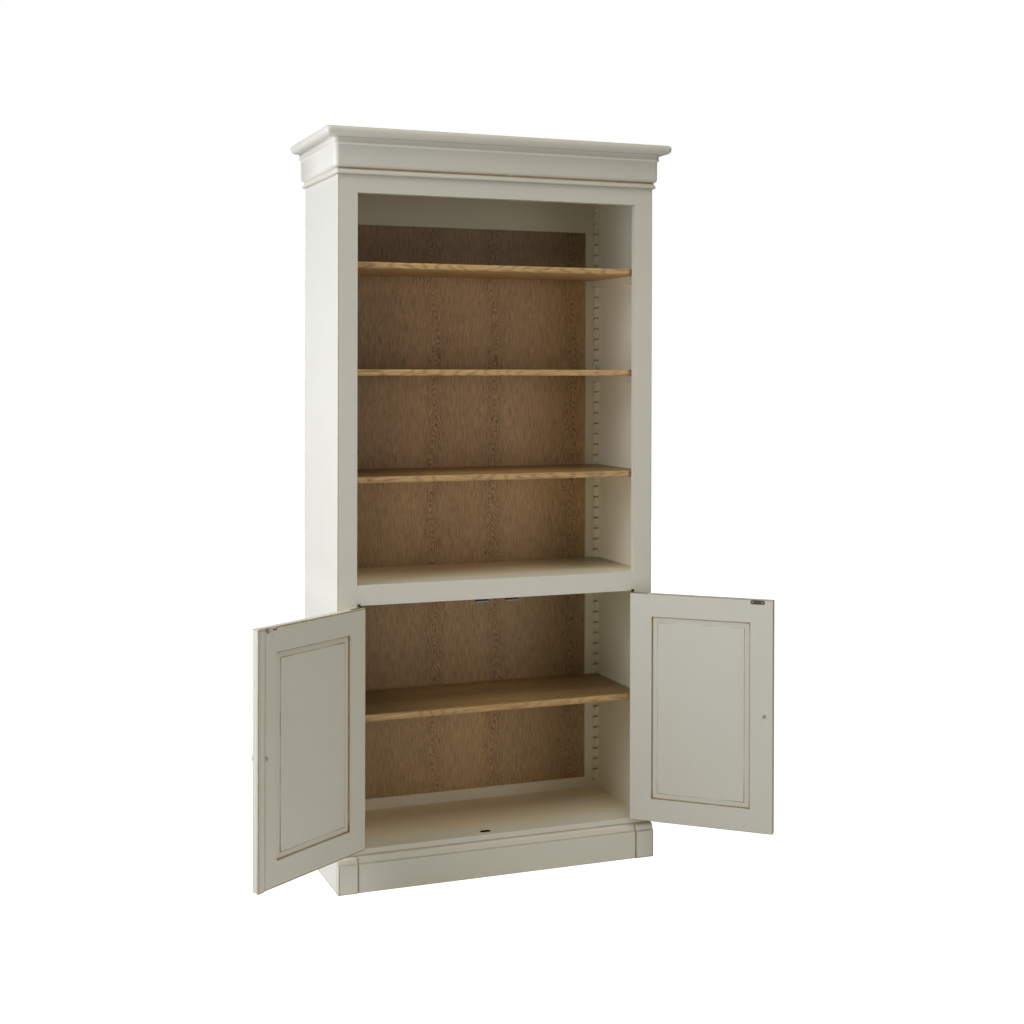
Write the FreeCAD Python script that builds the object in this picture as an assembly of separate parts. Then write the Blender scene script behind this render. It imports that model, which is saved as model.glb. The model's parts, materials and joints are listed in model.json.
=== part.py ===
import FreeCAD, Part
import math
import os

# Bookcase with cabinet doors: an open bookcase over a two-door cupboard, framed and panelled,
# with notched shelf racks, a mitred cornice and a moulded plinth.
# Millimetres. X runs to the right, Y to the back, Z up. The origin is on the floor in the middle
# of the width, where the back of the plinth meets the front plane of the face frame.
# Left-hand pieces are modelled and mirrored for the right. Doors are modelled shut, then swung.

# ---------------------------------------------------------------- driving dimensions: carcass
WIDTH = 1000.0                # over the side panels
DEPTH = 390.0                 # face frame front to the back edges of the sides
CARCASS_HEIGHT = 2165.0       # floor to the underside of the cornice board
SIDE_THICKNESS = 18.0
FRAME_THICKNESS = 22.0        # stiles and rails of the face frame
STILE_WIDTH = 58.5
TOP_RAIL_HEIGHT = 156.5
MID_RAIL_HEIGHT = 59.0
BOTTOM_RAIL_HEIGHT = 59.0
DIVIDER_TOP = 880.0           # floor of the open bookcase
DIVIDER_THICKNESS = 22.0
FLOOR_TOP = 121.0             # floor of the cupboard
FLOOR_THICKNESS = 18.0
CEILING_DROP = 107.0          # underside of the ceiling below the cornice board
CEILING_THICKNESS = 18.0
HOUSING_DEPTH = 6.0           # boards let into the sides
TENON_LENGTH = 30.0
TENON_THICKNESS = 8.0
TENON_SHOULDER = 10.0
MORTISE_SPARE = 1.0           # free space at the bottom of a mortise
SIDE_TONGUE = 7.0             # tongue of a side panel in the back of its stile
ARRIS = 1.2                   # softened edge of painted wood

# ---------------------------------------------------------------- driving dimensions: back
BACK_INSET = 14.0             # back frame in front of the back edges of the sides
BACK_THICKNESS = 20.0
BACK_STILE_WIDTH = 43.0
BACK_TOP_RAIL_HEIGHT = 212.0
BACK_BOTTOM_RAIL_RISE = 34.0  # above the floor of the cupboard
BACK_TENON_THICKNESS = 3.5
OAK_SETBACK = 7.0             # oak panel behind the face of its frame
OAK_THICKNESS = 8.0
REBATE_WIDTH = 10.0
REBATE_SPARE = 1.0

# ---------------------------------------------------------------- driving dimensions: shelving
RACK_WIDTH = 15.0
RACK_DEPTH = 13.0
RACK_PITCH = 34.7
NOTCH_DEPTH = 8.0
NOTCH_RISE = 17.4             # height over which a notch runs back out to the face of the rack
UPPER_FIRST_LEDGE = 26.0      # above the floor of the bookcase
LOWER_FIRST_LEDGE = 57.5      # above the floor of the cupboard
RACK_PLAIN_TOP = 100.0        # least plain length above the last notch
CLEAT_HEIGHT = 21.5
CLEAT_PLAY = 0.4              # between a cleat's tongue and its notch
UPPER_SHELF_HEIGHTS = (934.0, 621.7, 309.4)   # tops above the floor of the bookcase
LOWER_SHELF_HEIGHTS = (375.6,)                # and above the floor of the cupboard
SHELF_THICKNESS = 19.0
SHELF_SIDE_PLAY = 1.5
SHELF_RACK_PLAY = 1.0
SHELF_NOSE = 6.0              # radius of the front edge
SHELF_SETBACK = 9.0           # nose behind the back of the face frame
SHELF_NOSE_LENGTH = 6.0       # nose in front of the ears that pass behind the stiles
SHELF_STILE_PLAY = 2.5

# ---------------------------------------------------------------- driving dimensions: cornice
CORNICE_BOARD_THICKNESS = 26.0
CORNICE_OVERHANG = 48.0
CORNICE_UPPER_ROUND = 10.0
FRIEZE_HEIGHT = 88.0
FRIEZE_PROJECTION = 15.0
FRIEZE_CAP_PROJECTION = 21.3  # hollow moulding under the cornice board
FRIEZE_CAP_HEIGHT = 18.0
FRIEZE_CAP_HOLLOW = 1.6
FRIEZE_QUIRK = 4.0            # slope between frieze and cap
FRIEZE_ROUND = 9.5            # lower edge of the frieze
FRIEZE_LIP_RISE = 3.0         # from the neck bead up to that round
FRIEZE_ADVANCE = 0.6          # frieze comes forward by this much towards its cap
BEAD_HEIGHT = 16.5
BEAD_ROUND = 5.5
BEAD_PROJECTION = 10.5
BEAD_TOP_PROJECTION = 3.5

# ---------------------------------------------------------------- driving dimensions: plinth
PLINTH_HEIGHT = 104.0
PLINTH_BOARD_PROJECTION = 16.0
PLINTH_BLOCK_PROJECTION = 19.0
PLINTH_STEP = 82.0            # top of the plain lower part
PLINTH_STEP_SIZE = 5.4
PLINTH_STEP_HEIGHT = 4.0
PLINTH_STEP_HOLLOW = 1.3
PLINTH_BAND_TOP = 97.6
PLINTH_CROWN_SWELL = 1.3
PLINTH_NECK = 3.0             # upright part above the moulding
PLINTH_FILLET = 1.4           # flat against the carcass above the moulding
PLINTH_GROOVE = 2.0           # half of the V-groove between board and block
PLINTH_JOINT = 0.4            # open joint at the bottom of that groove
PLINTH_FOOT_ROUND = 3.0

# ---------------------------------------------------------------- driving dimensions: doors
DOOR_THICKNESS = 23.0
DOOR_SIDE_GAP = 2.2
DOOR_MIDDLE_GAP = 2.6
DOOR_TOP_GAP = 3.0
DOOR_BOTTOM_GAP = 2.0
DOOR_STILE_WIDTH = 69.5
DOOR_RAIL_HEIGHT = 70.0
DOOR_TENON_LENGTH = 34.0
DOOR_TENON_SHOULDER = 14.0
PANEL_RECESS = 5.5            # panel border below the face of the frame, on both sides
PANEL_FIELD_RISE = 1.8
PANEL_BORDER = 16.0
PANEL_STEP_WIDTH = 1.5
PANEL_GROOVE_WIDTH = 8.0
PANEL_GROOVE_DEPTH = 12.0
PANEL_PLAY = 0.2
PANEL_SHADOW_GAP = 0.7
LEFT_REST_ANGLE = 145.5       # open angles in which the doors stand
RIGHT_REST_ANGLE = 139.0
BATTEN_WIDTH = 29.2
BATTEN_THICKNESS = 5.7
BATTEN_OVERHANG = 9.0
BATTEN_RELIEF = 0.6
BATTEN_OGEE = 5.0             # width of its moulded edge
BATTEN_OGEE_SWELL = 0.6
BATTEN_END = 2.0              # batten short of the door at top and bottom

# ---------------------------------------------------------------- driving dimensions: hardware
HINGE_INSET = 5.0             # pin axis inside the edge of the opening
PIN_RADIUS = 2.2
PIN_CLEARANCE = 0.05
HINGE_NOSE = 4.5
LEAF_THICKNESS = 3.0
LEAF_WIDTH = 12.0
LEAF_LENGTH = 55.0
LEAF_SETBACK = 5.0            # leaf body behind the pin axis
LEAF_FIT = 0.2
NOSE_POCKET = 6.0             # height of the notch in the mid rail round the top nose
WASHER_RADIUS = 4.0
WASHER_CLEARANCE = 0.1
PIN_END_CLEARANCE = 0.2
KNOB_EDGE_DISTANCE = 27.0
KNOB_HEIGHT = 472.0           # above the floor
KNOB_LENGTH = 23.0
KNOB_RADIUS = 12.5
KNOB_ROSE_RADIUS = 9.5
KNOB_ROSE_THICKNESS = 2.0
KNOB_NECK_RADIUS = 5.5
KNOB_NECK_LENGTH = 9.0
KNOB_FLARE = 3.0              # height of the cone under the rim
KNOB_FLARE_WIDTH = 3.5
KNOB_CROWN = 2.5              # chamfer round the face
KNOB_BORE_DEPTH = 12.0
BOLT_RADIUS = 2.0
BOLT_HEAD_RADIUS = 6.2
BOLT_HEAD_HEIGHT = 3.0
BOLT_HEAD_CHAMFER = 1.4
BOLT_CLEARANCE = 0.1
STRIKE_LENGTH = 43.0
STRIKE_HEIGHT = 15.0
STRIKE_THICKNESS = 1.2
STRIKE_TOP_MARGIN = 1.0
CATCH_OFFSET = 48.0           # catch and strike from the middle of the cupboard
CATCH_WIDTH = 39.0
CATCH_DEPTH = 18.0
CATCH_HEIGHT = 27.0
CATCH_DROP = 13.0             # below the mid rail
CATCH_AIR = 0.5               # between catch and strike plate
CATCH_CORNER = 5.0
POLE_LENGTH = 22.0
POLE_HEIGHT = 5.0
POLE_DEPTH = 6.0
POLE_RISE = 2.0               # above the underside of its housing
KEEPER_LENGTH = 34.0
KEEPER_WIDTH = 18.0
KEEPER_DEPTH = 9.0
KEEPER_WALL = 3.5
KEEPER_OFFSET = 35.0          # left of the middle
KEEPER_SETBACK = 10.0         # keeper axis behind the back of the face frame
KEEPER_RIM = 0.4              # keeper above the floor of the cupboard
KEEPER_FIT = 0.1

# ---------------------------------------------------------------- derived places
SIDE_OUT = WIDTH / 2
SIDE_IN = SIDE_OUT - SIDE_THICKNESS
OPENING = SIDE_OUT - STILE_WIDTH
MID_RAIL_UNDERSIDE = DIVIDER_TOP - MID_RAIL_HEIGHT
TOP_RAIL_UNDERSIDE = CARCASS_HEIGHT - TOP_RAIL_HEIGHT
DIVIDER_UNDERSIDE = DIVIDER_TOP - DIVIDER_THICKNESS
FLOOR_UNDERSIDE = FLOOR_TOP - FLOOR_THICKNESS
CEILING_UNDERSIDE = CARCASS_HEIGHT - CEILING_DROP
FRIEZE_UNDERSIDE = CARCASS_HEIGHT - FRIEZE_HEIGHT
BEAD_UNDERSIDE = FRIEZE_UNDERSIDE - BEAD_HEIGHT
BACK_REAR = DEPTH - BACK_INSET
BACK_FACE = BACK_REAR - BACK_THICKNESS
BACK_TOP_RAIL_UNDERSIDE = CARCASS_HEIGHT - BACK_TOP_RAIL_HEIGHT
BACK_BOTTOM_RAIL_TOP = FLOOR_TOP + BACK_BOTTOM_RAIL_RISE
OAK_FACE = BACK_FACE + OAK_SETBACK
BACK_OPENING = SIDE_IN - BACK_STILE_WIDTH
RACK_IN = SIDE_IN - RACK_WIDTH
REAR_RACK_FACE = BACK_FACE - RACK_DEPTH
FRONT_RACK_FACE = FRAME_THICKNESS + RACK_DEPTH
DOOR_BOTTOM = FLOOR_TOP + DOOR_BOTTOM_GAP
DOOR_TOP = MID_RAIL_UNDERSIDE - DOOR_TOP_GAP
DOOR_HINGE_EDGE = -OPENING + DOOR_SIDE_GAP
DOOR_LEADING_EDGE = -DOOR_MIDDLE_GAP / 2
PIN_X = -OPENING + HINGE_INSET
STRIKE_HEIGHT_ABOVE_FLOOR = DOOR_TOP - STRIKE_TOP_MARGIN - STRIKE_HEIGHT / 2
PANEL_LEFT = DOOR_HINGE_EDGE + DOOR_STILE_WIDTH
PANEL_RIGHT = DOOR_LEADING_EDGE - DOOR_STILE_WIDTH
PANEL_BOTTOM = DOOR_BOTTOM + DOOR_RAIL_HEIGHT
PANEL_TOP = DOOR_TOP - DOOR_RAIL_HEIGHT

UP = FreeCAD.Vector(0, 0, 1)
ORIGIN = FreeCAD.Vector(0, 0, 0)


# ---------------------------------------------------------------- helpers
def box(x0, x1, y0, y1, z0, z1):
    """Box between two corners given axis by axis."""
    return Part.makeBox(x1 - x0, y1 - y0, z1 - z0, FreeCAD.Vector(x0, y0, z0))


def quarter(centre, start, end):
    """Quarter-round step of a profile; start and end are counted from its centre."""
    lean = math.sqrt(0.5)
    middle_a = centre[0] + lean * (start[0] + end[0])
    middle_b = centre[1] + lean * (start[1] + end[1])
    return middle_a, middle_b, centre[0] + end[0], centre[1] + end[1]


def bow(start, end, rise):
    """Shallow arc step of a profile; its middle rises to the left of the way from start to end."""
    run_a = end[0] - start[0]
    run_b = end[1] - start[1]
    slope = rise / math.hypot(run_a, run_b)
    middle_a = (start[0] + end[0]) / 2 - slope * run_b
    middle_b = (start[1] + end[1]) / 2 + slope * run_a
    return middle_a, middle_b, end[0], end[1]


def outline(steps, place):
    """Closed wire: a step of two numbers is a line to that point, one of four an arc via the first two."""
    points = [place(*step[-2:]) for step in steps]
    edges = []
    for index, step in enumerate(steps):
        start = points[index - 1]
        if len(step) == 2:
            edges.append(Part.makeLine(start, points[index]))
        else:
            edges.append(Part.Arc(start, place(step[0], step[1]), points[index]).toShape())
    return Part.Wire(edges)


def prism(steps, place, sweep):
    """Solid of a closed profile, swept along a vector."""
    return Part.Face(outline(steps, place)).extrude(sweep)


def stadium(x, y, z, length, width, height):
    """Upright solid with two half-round ends, centred on x, y and standing on z."""
    half = (length - width) / 2
    radius = width / 2
    steps = [
        (x + half, y - radius),
        (x + half + radius, y, x + half, y + radius),
        (x - half, y + radius),
        (x - half - radius, y, x - half, y - radius),
    ]
    return prism(steps, lambda a, b: FreeCAD.Vector(a, b, z), UP * height)


def turned(steps, x, y, z, outward):
    """Turned solid: steps give radius and height, the axis starts at x, y, z and runs along Y."""
    face = Part.Face(outline(steps, lambda radius, height: FreeCAD.Vector(radius, 0, height)))
    solid = face.revolve(ORIGIN, UP, 360)
    solid.rotate(ORIGIN, FreeCAD.Vector(1, 0, 0), -90 * outward)
    solid.translate(FreeCAD.Vector(x, y, z))
    return solid


def mirrored(shape):
    """The right-hand piece that matches a left-hand one."""
    return shape.mirror(ORIGIN, FreeCAD.Vector(1, 0, 0))


def group(*solids):
    """Separate solids that make one node."""
    return Part.makeCompound(list(solids))


def opening_arris(x0, x1, z0, z1, face, depth):
    """Tool that softens the edge of a rectangular opening in the face at Y; depth is signed."""
    tool = Part.makeWedge(
        x0 - ARRIS, 0, z0 - ARRIS, z0, x0,
        x1 + ARRIS, ARRIS, z1 + ARRIS, z1, x1,
    )
    if depth < 0:
        tool = tool.mirror(ORIGIN, FreeCAD.Vector(0, 1, 0))
    tool.translate(FreeCAD.Vector(0, face, 0))
    return tool


def tenon(x0, x1, y_middle, z0, z1):
    """Tongue on the end of a rail."""
    half = TENON_THICKNESS / 2
    return box(x0, x1, y_middle - half, y_middle + half, z0, z1)


# ---------------------------------------------------------------- carcass
def face_frame_rail(z0, z1):
    """Rail between the front stiles, with a tenon at each end."""
    rail = box(-OPENING, OPENING, 0, FRAME_THICKNESS, z0, z1)
    tongue = tenon(
        -OPENING - TENON_LENGTH, OPENING + TENON_LENGTH, FRAME_THICKNESS / 2,
        z0 + TENON_SHOULDER, z1 - TENON_SHOULDER,
    )
    return rail.fuse(tongue).removeSplitter()


def frame_mortises(rail_spans):
    """Mortises of the left front stile, for rails between the given heights."""
    tools = []
    for z0, z1 in rail_spans:
        tools.append(tenon(
            -OPENING - TENON_LENGTH - MORTISE_SPARE, -OPENING, FRAME_THICKNESS / 2,
            z0 + TENON_SHOULDER, z1 - TENON_SHOULDER,
        ))
    return tools


def side_tongue(end_spare):
    """Tongue that runs up the front edge of the left side panel, and its groove with spare."""
    middle = -SIDE_OUT + SIDE_THICKNESS / 2
    half = TENON_THICKNESS / 2
    return box(
        middle - half, middle + half,
        FRAME_THICKNESS - SIDE_TONGUE - end_spare, FRAME_THICKNESS, 0, CARCASS_HEIGHT,
    )


def front_stile():
    """Left stile of the face frame, floor to cornice."""
    spans = (
        (FLOOR_TOP - BOTTOM_RAIL_HEIGHT, FLOOR_TOP),
        (MID_RAIL_UNDERSIDE, DIVIDER_TOP),
        (TOP_RAIL_UNDERSIDE, CARCASS_HEIGHT),
    )
    stile = box(-SIDE_OUT, -OPENING, 0, FRAME_THICKNESS, 0, CARCASS_HEIGHT)
    outer_edges = []
    for edge in stile.Edges:
        centre = edge.CenterOfMass
        if abs(centre.x + SIDE_OUT) < 1e-6 and abs(centre.y) < 1e-6:
            outer_edges.append(edge)
    stile = stile.makeFillet(ARRIS, outer_edges)
    return stile.cut(frame_mortises(spans) + [side_tongue(MORTISE_SPARE)] + frame_opening_tools())


def frame_opening_tools():
    """Tools that soften both openings of the face frame."""
    return [
        opening_arris(-OPENING, OPENING, DIVIDER_TOP, TOP_RAIL_UNDERSIDE, 0, 1),
        opening_arris(-OPENING, OPENING, FLOOR_TOP, MID_RAIL_UNDERSIDE, 0, 1),
    ]


def side_panel():
    """Left side, with its tongue and the housings of the three boards."""
    panel = box(-SIDE_OUT, -SIDE_IN, FRAME_THICKNESS, DEPTH, 0, CARCASS_HEIGHT)
    panel = panel.fuse(side_tongue(0)).removeSplitter()
    boards = (
        (FLOOR_UNDERSIDE, FLOOR_TOP),
        (DIVIDER_UNDERSIDE, DIVIDER_TOP),
        (CEILING_UNDERSIDE, CEILING_UNDERSIDE + CEILING_THICKNESS),
    )
    housings = [
        box(-SIDE_IN - HOUSING_DEPTH, -SIDE_IN, FRAME_THICKNESS, BACK_FACE, z0, z1)
        for z0, z1 in boards
    ]
    return panel.cut(housings)


def housed_board(z0, z1):
    """Board let into both sides, from the face frame to the back frame."""
    end = SIDE_IN + HOUSING_DEPTH
    return box(-end, end, FRAME_THICKNESS, BACK_FACE, z0, z1)


def divider_board():
    """Floor of the bookcase, which runs on between the back stiles to the oak panel."""
    strip = box(-BACK_OPENING, BACK_OPENING, BACK_FACE, OAK_FACE, DIVIDER_UNDERSIDE, DIVIDER_TOP)
    return housed_board(DIVIDER_UNDERSIDE, DIVIDER_TOP).fuse(strip).removeSplitter()


# ---------------------------------------------------------------- back
def back_rail(z0, z1, rebate_edge):
    """Rail of the back frame; rebate_edge is the height of its edge towards the oak panel."""
    middle = BACK_FACE + OAK_SETBACK / 2
    half = BACK_TENON_THICKNESS / 2
    rail = box(-BACK_OPENING, BACK_OPENING, BACK_FACE, BACK_REAR, z0, z1)
    tongue = box(
        -BACK_OPENING - TENON_LENGTH, BACK_OPENING + TENON_LENGTH,
        middle - half, middle + half,
        z0 + TENON_SHOULDER, z1 - TENON_SHOULDER,
    )
    rebate = box(
        -BACK_OPENING - TENON_LENGTH, BACK_OPENING + TENON_LENGTH, OAK_FACE, BACK_REAR,
        rebate_edge - REBATE_WIDTH, rebate_edge + REBATE_WIDTH,
    )
    return rail.fuse(tongue).cut(rebate).removeSplitter()


def back_stile():
    """Left stile of the back frame, mortised and rebated for the oak panel."""
    middle = BACK_FACE + OAK_SETBACK / 2
    half = BACK_TENON_THICKNESS / 2
    stile = box(
        -SIDE_IN, -BACK_OPENING, BACK_FACE, BACK_REAR, FLOOR_UNDERSIDE, CARCASS_HEIGHT,
    )
    rebate = box(
        -BACK_OPENING - REBATE_WIDTH, -BACK_OPENING, OAK_FACE, BACK_REAR,
        BACK_BOTTOM_RAIL_TOP - REBATE_WIDTH, BACK_TOP_RAIL_UNDERSIDE + REBATE_WIDTH,
    )
    mortises = [
        box(
            -BACK_OPENING - TENON_LENGTH - MORTISE_SPARE, -BACK_OPENING,
            middle - half, middle + half,
            z0 + TENON_SHOULDER, z1 - TENON_SHOULDER,
        )
        for z0, z1 in (
            (FLOOR_UNDERSIDE, BACK_BOTTOM_RAIL_TOP),
            (BACK_TOP_RAIL_UNDERSIDE, CARCASS_HEIGHT),
        )
    ]
    return stile.cut(mortises + [rebate])


def oak_back_panel():
    """Oak panel in the rebate of the back frame."""
    reach = REBATE_WIDTH - REBATE_SPARE
    return box(
        -BACK_OPENING - reach, BACK_OPENING + reach, OAK_FACE, OAK_FACE + OAK_THICKNESS,
        BACK_BOTTOM_RAIL_TOP - reach, BACK_TOP_RAIL_UNDERSIDE + reach,
    )


# ---------------------------------------------------------------- racks, cleats and shelves
def ledge_heights(bay_bottom, bay_top, first_ledge):
    """Heights of the ledges that fit in a bay."""
    count = int((bay_top - bay_bottom - first_ledge - RACK_PLAIN_TOP) / RACK_PITCH) + 1
    return [bay_bottom + first_ledge + RACK_PITCH * step for step in range(count)]


def rack(bay_bottom, bay_top, ledges, face, rear):
    """Notched upright of the left side; its teeth point from the rear plane to the face plane."""
    inward = 1 if rear > face else -1
    profile = [(rear, bay_bottom), (face, bay_bottom)]
    for ledge in ledges:
        profile.append((face, ledge))
        profile.append((face + inward * NOTCH_DEPTH, ledge))
        profile.append((face, ledge + NOTCH_RISE))
    profile += [(face, bay_top), (rear, bay_top)]
    return prism(
        profile, lambda y, z: FreeCAD.Vector(-SIDE_IN, y, z), FreeCAD.Vector(RACK_WIDTH, 0, 0),
    )


def rack_pair(bay_bottom, bay_top, ledges):
    """Front and rear rack of the left side of one bay."""
    return group(
        rack(bay_bottom, bay_top, ledges, FRONT_RACK_FACE, FRAME_THICKNESS),
        rack(bay_bottom, bay_top, ledges, REAR_RACK_FACE, BACK_FACE),
    )


def ledge_for(ledges, shelf_top):
    """Ledge that brings a shelf nearest to a height."""
    return min(ledges, key=lambda ledge: abs(ledge + CLEAT_HEIGHT + SHELF_THICKNESS - shelf_top))


def cleat(ledge):
    """Loose bearer between the racks of the left side, with a wedge at each end in a notch."""
    tip = NOTCH_DEPTH - CLEAT_PLAY
    root_rise = NOTCH_RISE * tip / NOTCH_DEPTH - CLEAT_PLAY
    front = FRONT_RACK_FACE + CLEAT_PLAY
    rear = REAR_RACK_FACE - CLEAT_PLAY
    profile = [
        (FRONT_RACK_FACE - tip, ledge),
        (REAR_RACK_FACE + tip, ledge),
        (rear, ledge + root_rise),
        (rear, ledge + CLEAT_HEIGHT),
        (front, ledge + CLEAT_HEIGHT),
        (front, ledge + root_rise),
    ]
    return prism(
        profile, lambda y, z: FreeCAD.Vector(-SIDE_IN, y, z), FreeCAD.Vector(RACK_WIDTH, 0, 0),
    )


def shelf(ledge):
    """Oak shelf: a rounded nose between the stiles, ears behind them, corners cut round the racks."""
    z0 = ledge + CLEAT_HEIGHT
    z1 = z0 + SHELF_THICKNESS
    end = SIDE_IN - SHELF_SIDE_PLAY
    nose_end = OPENING - SHELF_STILE_PLAY
    nose_front = FRAME_THICKNESS + SHELF_SETBACK
    ear_front = nose_front + SHELF_NOSE_LENGTH
    rear = BACK_FACE - SHELF_RACK_PLAY
    board = box(-end, end, ear_front, rear, z0, z1)
    board = board.fuse(box(-nose_end, nose_end, nose_front, ear_front, z0, z1)).removeSplitter()
    nose_edges = []
    for edge in board.Edges:
        bounds = edge.BoundBox
        if bounds.XLength > nose_end and abs(bounds.YMax - nose_front) < 1e-6:
            nose_edges.append(edge)
    board = board.makeFillet(SHELF_NOSE, nose_edges)
    corner = box(
        -end, -RACK_IN + SHELF_RACK_PLAY, REAR_RACK_FACE - SHELF_RACK_PLAY, rear, z0, z1,
    )
    return board.cut([corner, mirrored(corner)])


# ---------------------------------------------------------------- cornice
def front_place(overhang, z):
    """Profile coordinates on the front of the carcass, at the far left of a sweep."""
    return FreeCAD.Vector(-SIDE_OUT - CORNICE_OVERHANG, -overhang, z)


def left_place(overhang, z):
    """Profile coordinates on the left side of the carcass, in front of the corner."""
    return FreeCAD.Vector(-SIDE_OUT - overhang, -CORNICE_OVERHANG, z)


FRONT_SWEEP = FreeCAD.Vector(WIDTH + 2 * CORNICE_OVERHANG, 0, 0)
SIDE_SWEEP = FreeCAD.Vector(0, DEPTH + CORNICE_OVERHANG, 0)


def cornice_board():
    """Top board with one rounded nose carried round the front and both sides."""
    bottom = CARCASS_HEIGHT
    top = bottom + CORNICE_BOARD_THICKNESS
    upper_round = CORNICE_UPPER_ROUND
    lower_round = CORNICE_BOARD_THICKNESS - upper_round
    upper_centre = (CORNICE_OVERHANG - upper_round, top - upper_round)
    lower_centre = (CORNICE_OVERHANG - lower_round, top - upper_round)
    nose = [
        (lower_centre[0], bottom),
        quarter(lower_centre, (0, -lower_round), (lower_round, 0)),
        quarter(upper_centre, (upper_round, 0), (0, upper_round)),
    ]
    across = [(-DEPTH, bottom)] + nose + [(-DEPTH, top)]
    front = prism(across, front_place, FRONT_SWEEP)
    left = prism([(-SIDE_OUT, bottom)] + nose + [(-SIDE_OUT, top)], left_place, SIDE_SWEEP)
    both_sides = left.fuse(mirrored(left)).removeSplitter()
    return front.common(both_sides).removeSplitter()


def mitre_zone_front():
    """Everything in front of the carcass, up to the mitres at its corners."""
    reach = CORNICE_OVERHANG
    steps = [
        (-SIDE_OUT, 0),
        (-SIDE_OUT - reach, -reach),
        (SIDE_OUT + reach, -reach),
        (SIDE_OUT, 0),
    ]
    return prism(steps, lambda x, y: FreeCAD.Vector(x, y, 0), UP * CARCASS_HEIGHT)


def mitre_zone_left():
    """Everything left of the carcass, up to the front mitre."""
    reach = CORNICE_OVERHANG
    steps = [
        (-SIDE_OUT, 0),
        (-SIDE_OUT, DEPTH),
        (-SIDE_OUT - reach, DEPTH),
        (-SIDE_OUT - reach, -reach),
    ]
    return prism(steps, lambda x, y: FreeCAD.Vector(x, y, 0), UP * CARCASS_HEIGHT)


def moulding_set(name, profile):
    """Front, left and right lengths of one moulding, mitred together."""
    front = prism(profile, front_place, FRONT_SWEEP).common(mitre_zone_front())
    left = prism(profile, left_place, SIDE_SWEEP).common(mitre_zone_left())
    return {name + "_front": front, name + "_left": left, name + "_right": mirrored(left)}


def frieze_profile():
    """Frieze board with a rounded lower edge and a slightly hollow cap."""
    belly = FRIEZE_PROJECTION - FRIEZE_ADVANCE
    lip = belly - FRIEZE_ROUND
    round_bottom = FRIEZE_UNDERSIDE + FRIEZE_LIP_RISE
    round_top = round_bottom + FRIEZE_ROUND
    cap_bottom = (FRIEZE_CAP_PROJECTION, CARCASS_HEIGHT - FRIEZE_CAP_HEIGHT)
    cap_top = (FRIEZE_CAP_PROJECTION, CARCASS_HEIGHT)
    return [
        (0, FRIEZE_UNDERSIDE),
        (BEAD_TOP_PROJECTION, FRIEZE_UNDERSIDE),
        (lip, round_bottom),
        quarter((lip, round_top), (0, -FRIEZE_ROUND), (FRIEZE_ROUND, 0)),
        (FRIEZE_PROJECTION, cap_bottom[1] - FRIEZE_QUIRK),
        cap_bottom,
        bow(cap_bottom, cap_top, FRIEZE_CAP_HOLLOW),
        (0, CARCASS_HEIGHT),
    ]


def bead_profile():
    """Neck bead: a weathered slope above a small round."""
    centre = (BEAD_PROJECTION - BEAD_ROUND, BEAD_UNDERSIDE + BEAD_ROUND)
    return [
        (0, BEAD_UNDERSIDE),
        (centre[0], BEAD_UNDERSIDE),
        quarter(centre, (0, -BEAD_ROUND), (BEAD_ROUND, 0)),
        (BEAD_TOP_PROJECTION, FRIEZE_UNDERSIDE),
        (0, FRIEZE_UNDERSIDE),
    ]


# ---------------------------------------------------------------- plinth
def plinth_profile(projection, x):
    """Moulded section of the plinth in the plane at x, for the given projection at its foot."""
    foot = PLINTH_FOOT_ROUND
    step_bottom = (projection, PLINTH_STEP)
    step_top = (projection - PLINTH_STEP_SIZE, PLINTH_STEP + PLINTH_STEP_HEIGHT)
    crown_front = (step_top[0] - PLINTH_FILLET, PLINTH_BAND_TOP)
    crown_rear = (PLINTH_FILLET, PLINTH_HEIGHT - PLINTH_NECK)
    steps = [
        (0, 0),
        (projection - foot, 0),
        quarter((projection - foot, foot), (0, -foot), (foot, 0)),
        step_bottom,
        bow(step_bottom, step_top, PLINTH_STEP_HOLLOW),
        crown_front,
        bow(crown_front, crown_rear, -PLINTH_CROWN_SWELL),
        (PLINTH_FILLET, PLINTH_HEIGHT),
        (0, PLINTH_HEIGHT),
    ]
    return outline(steps, lambda y, z: FreeCAD.Vector(x, -y, z))


def plinth_length(projection, x0, x1, groove_left, groove_right):
    """Length of plinth whose ends run back into a V-groove where asked."""
    inner0 = x0 + (PLINTH_GROOVE if groove_left else 0)
    inner1 = x1 - (PLINTH_GROOVE if groove_right else 0)
    body = Part.Face(plinth_profile(projection, inner0)).extrude(FreeCAD.Vector(inner1 - inner0, 0, 0))
    slices = []
    for grooved, inner, outer in ((groove_left, inner0, x0), (groove_right, inner1, x1)):
        if grooved:
            wires = [
                plinth_profile(projection, inner),
                plinth_profile(projection - PLINTH_GROOVE, outer),
            ]
            slices.append(Part.makeLoft(wires, True, True))
    return body.fuse(slices).removeSplitter()


# ---------------------------------------------------------------- doors, modelled shut on the left
def door_blank():
    """Outside of a whole door, with softened edges."""
    blank = box(
        DOOR_HINGE_EDGE, DOOR_LEADING_EDGE, 0, DOOR_THICKNESS, DOOR_BOTTOM, DOOR_TOP,
    )
    return blank.makeChamfer(ARRIS, blank.Edges)


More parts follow.
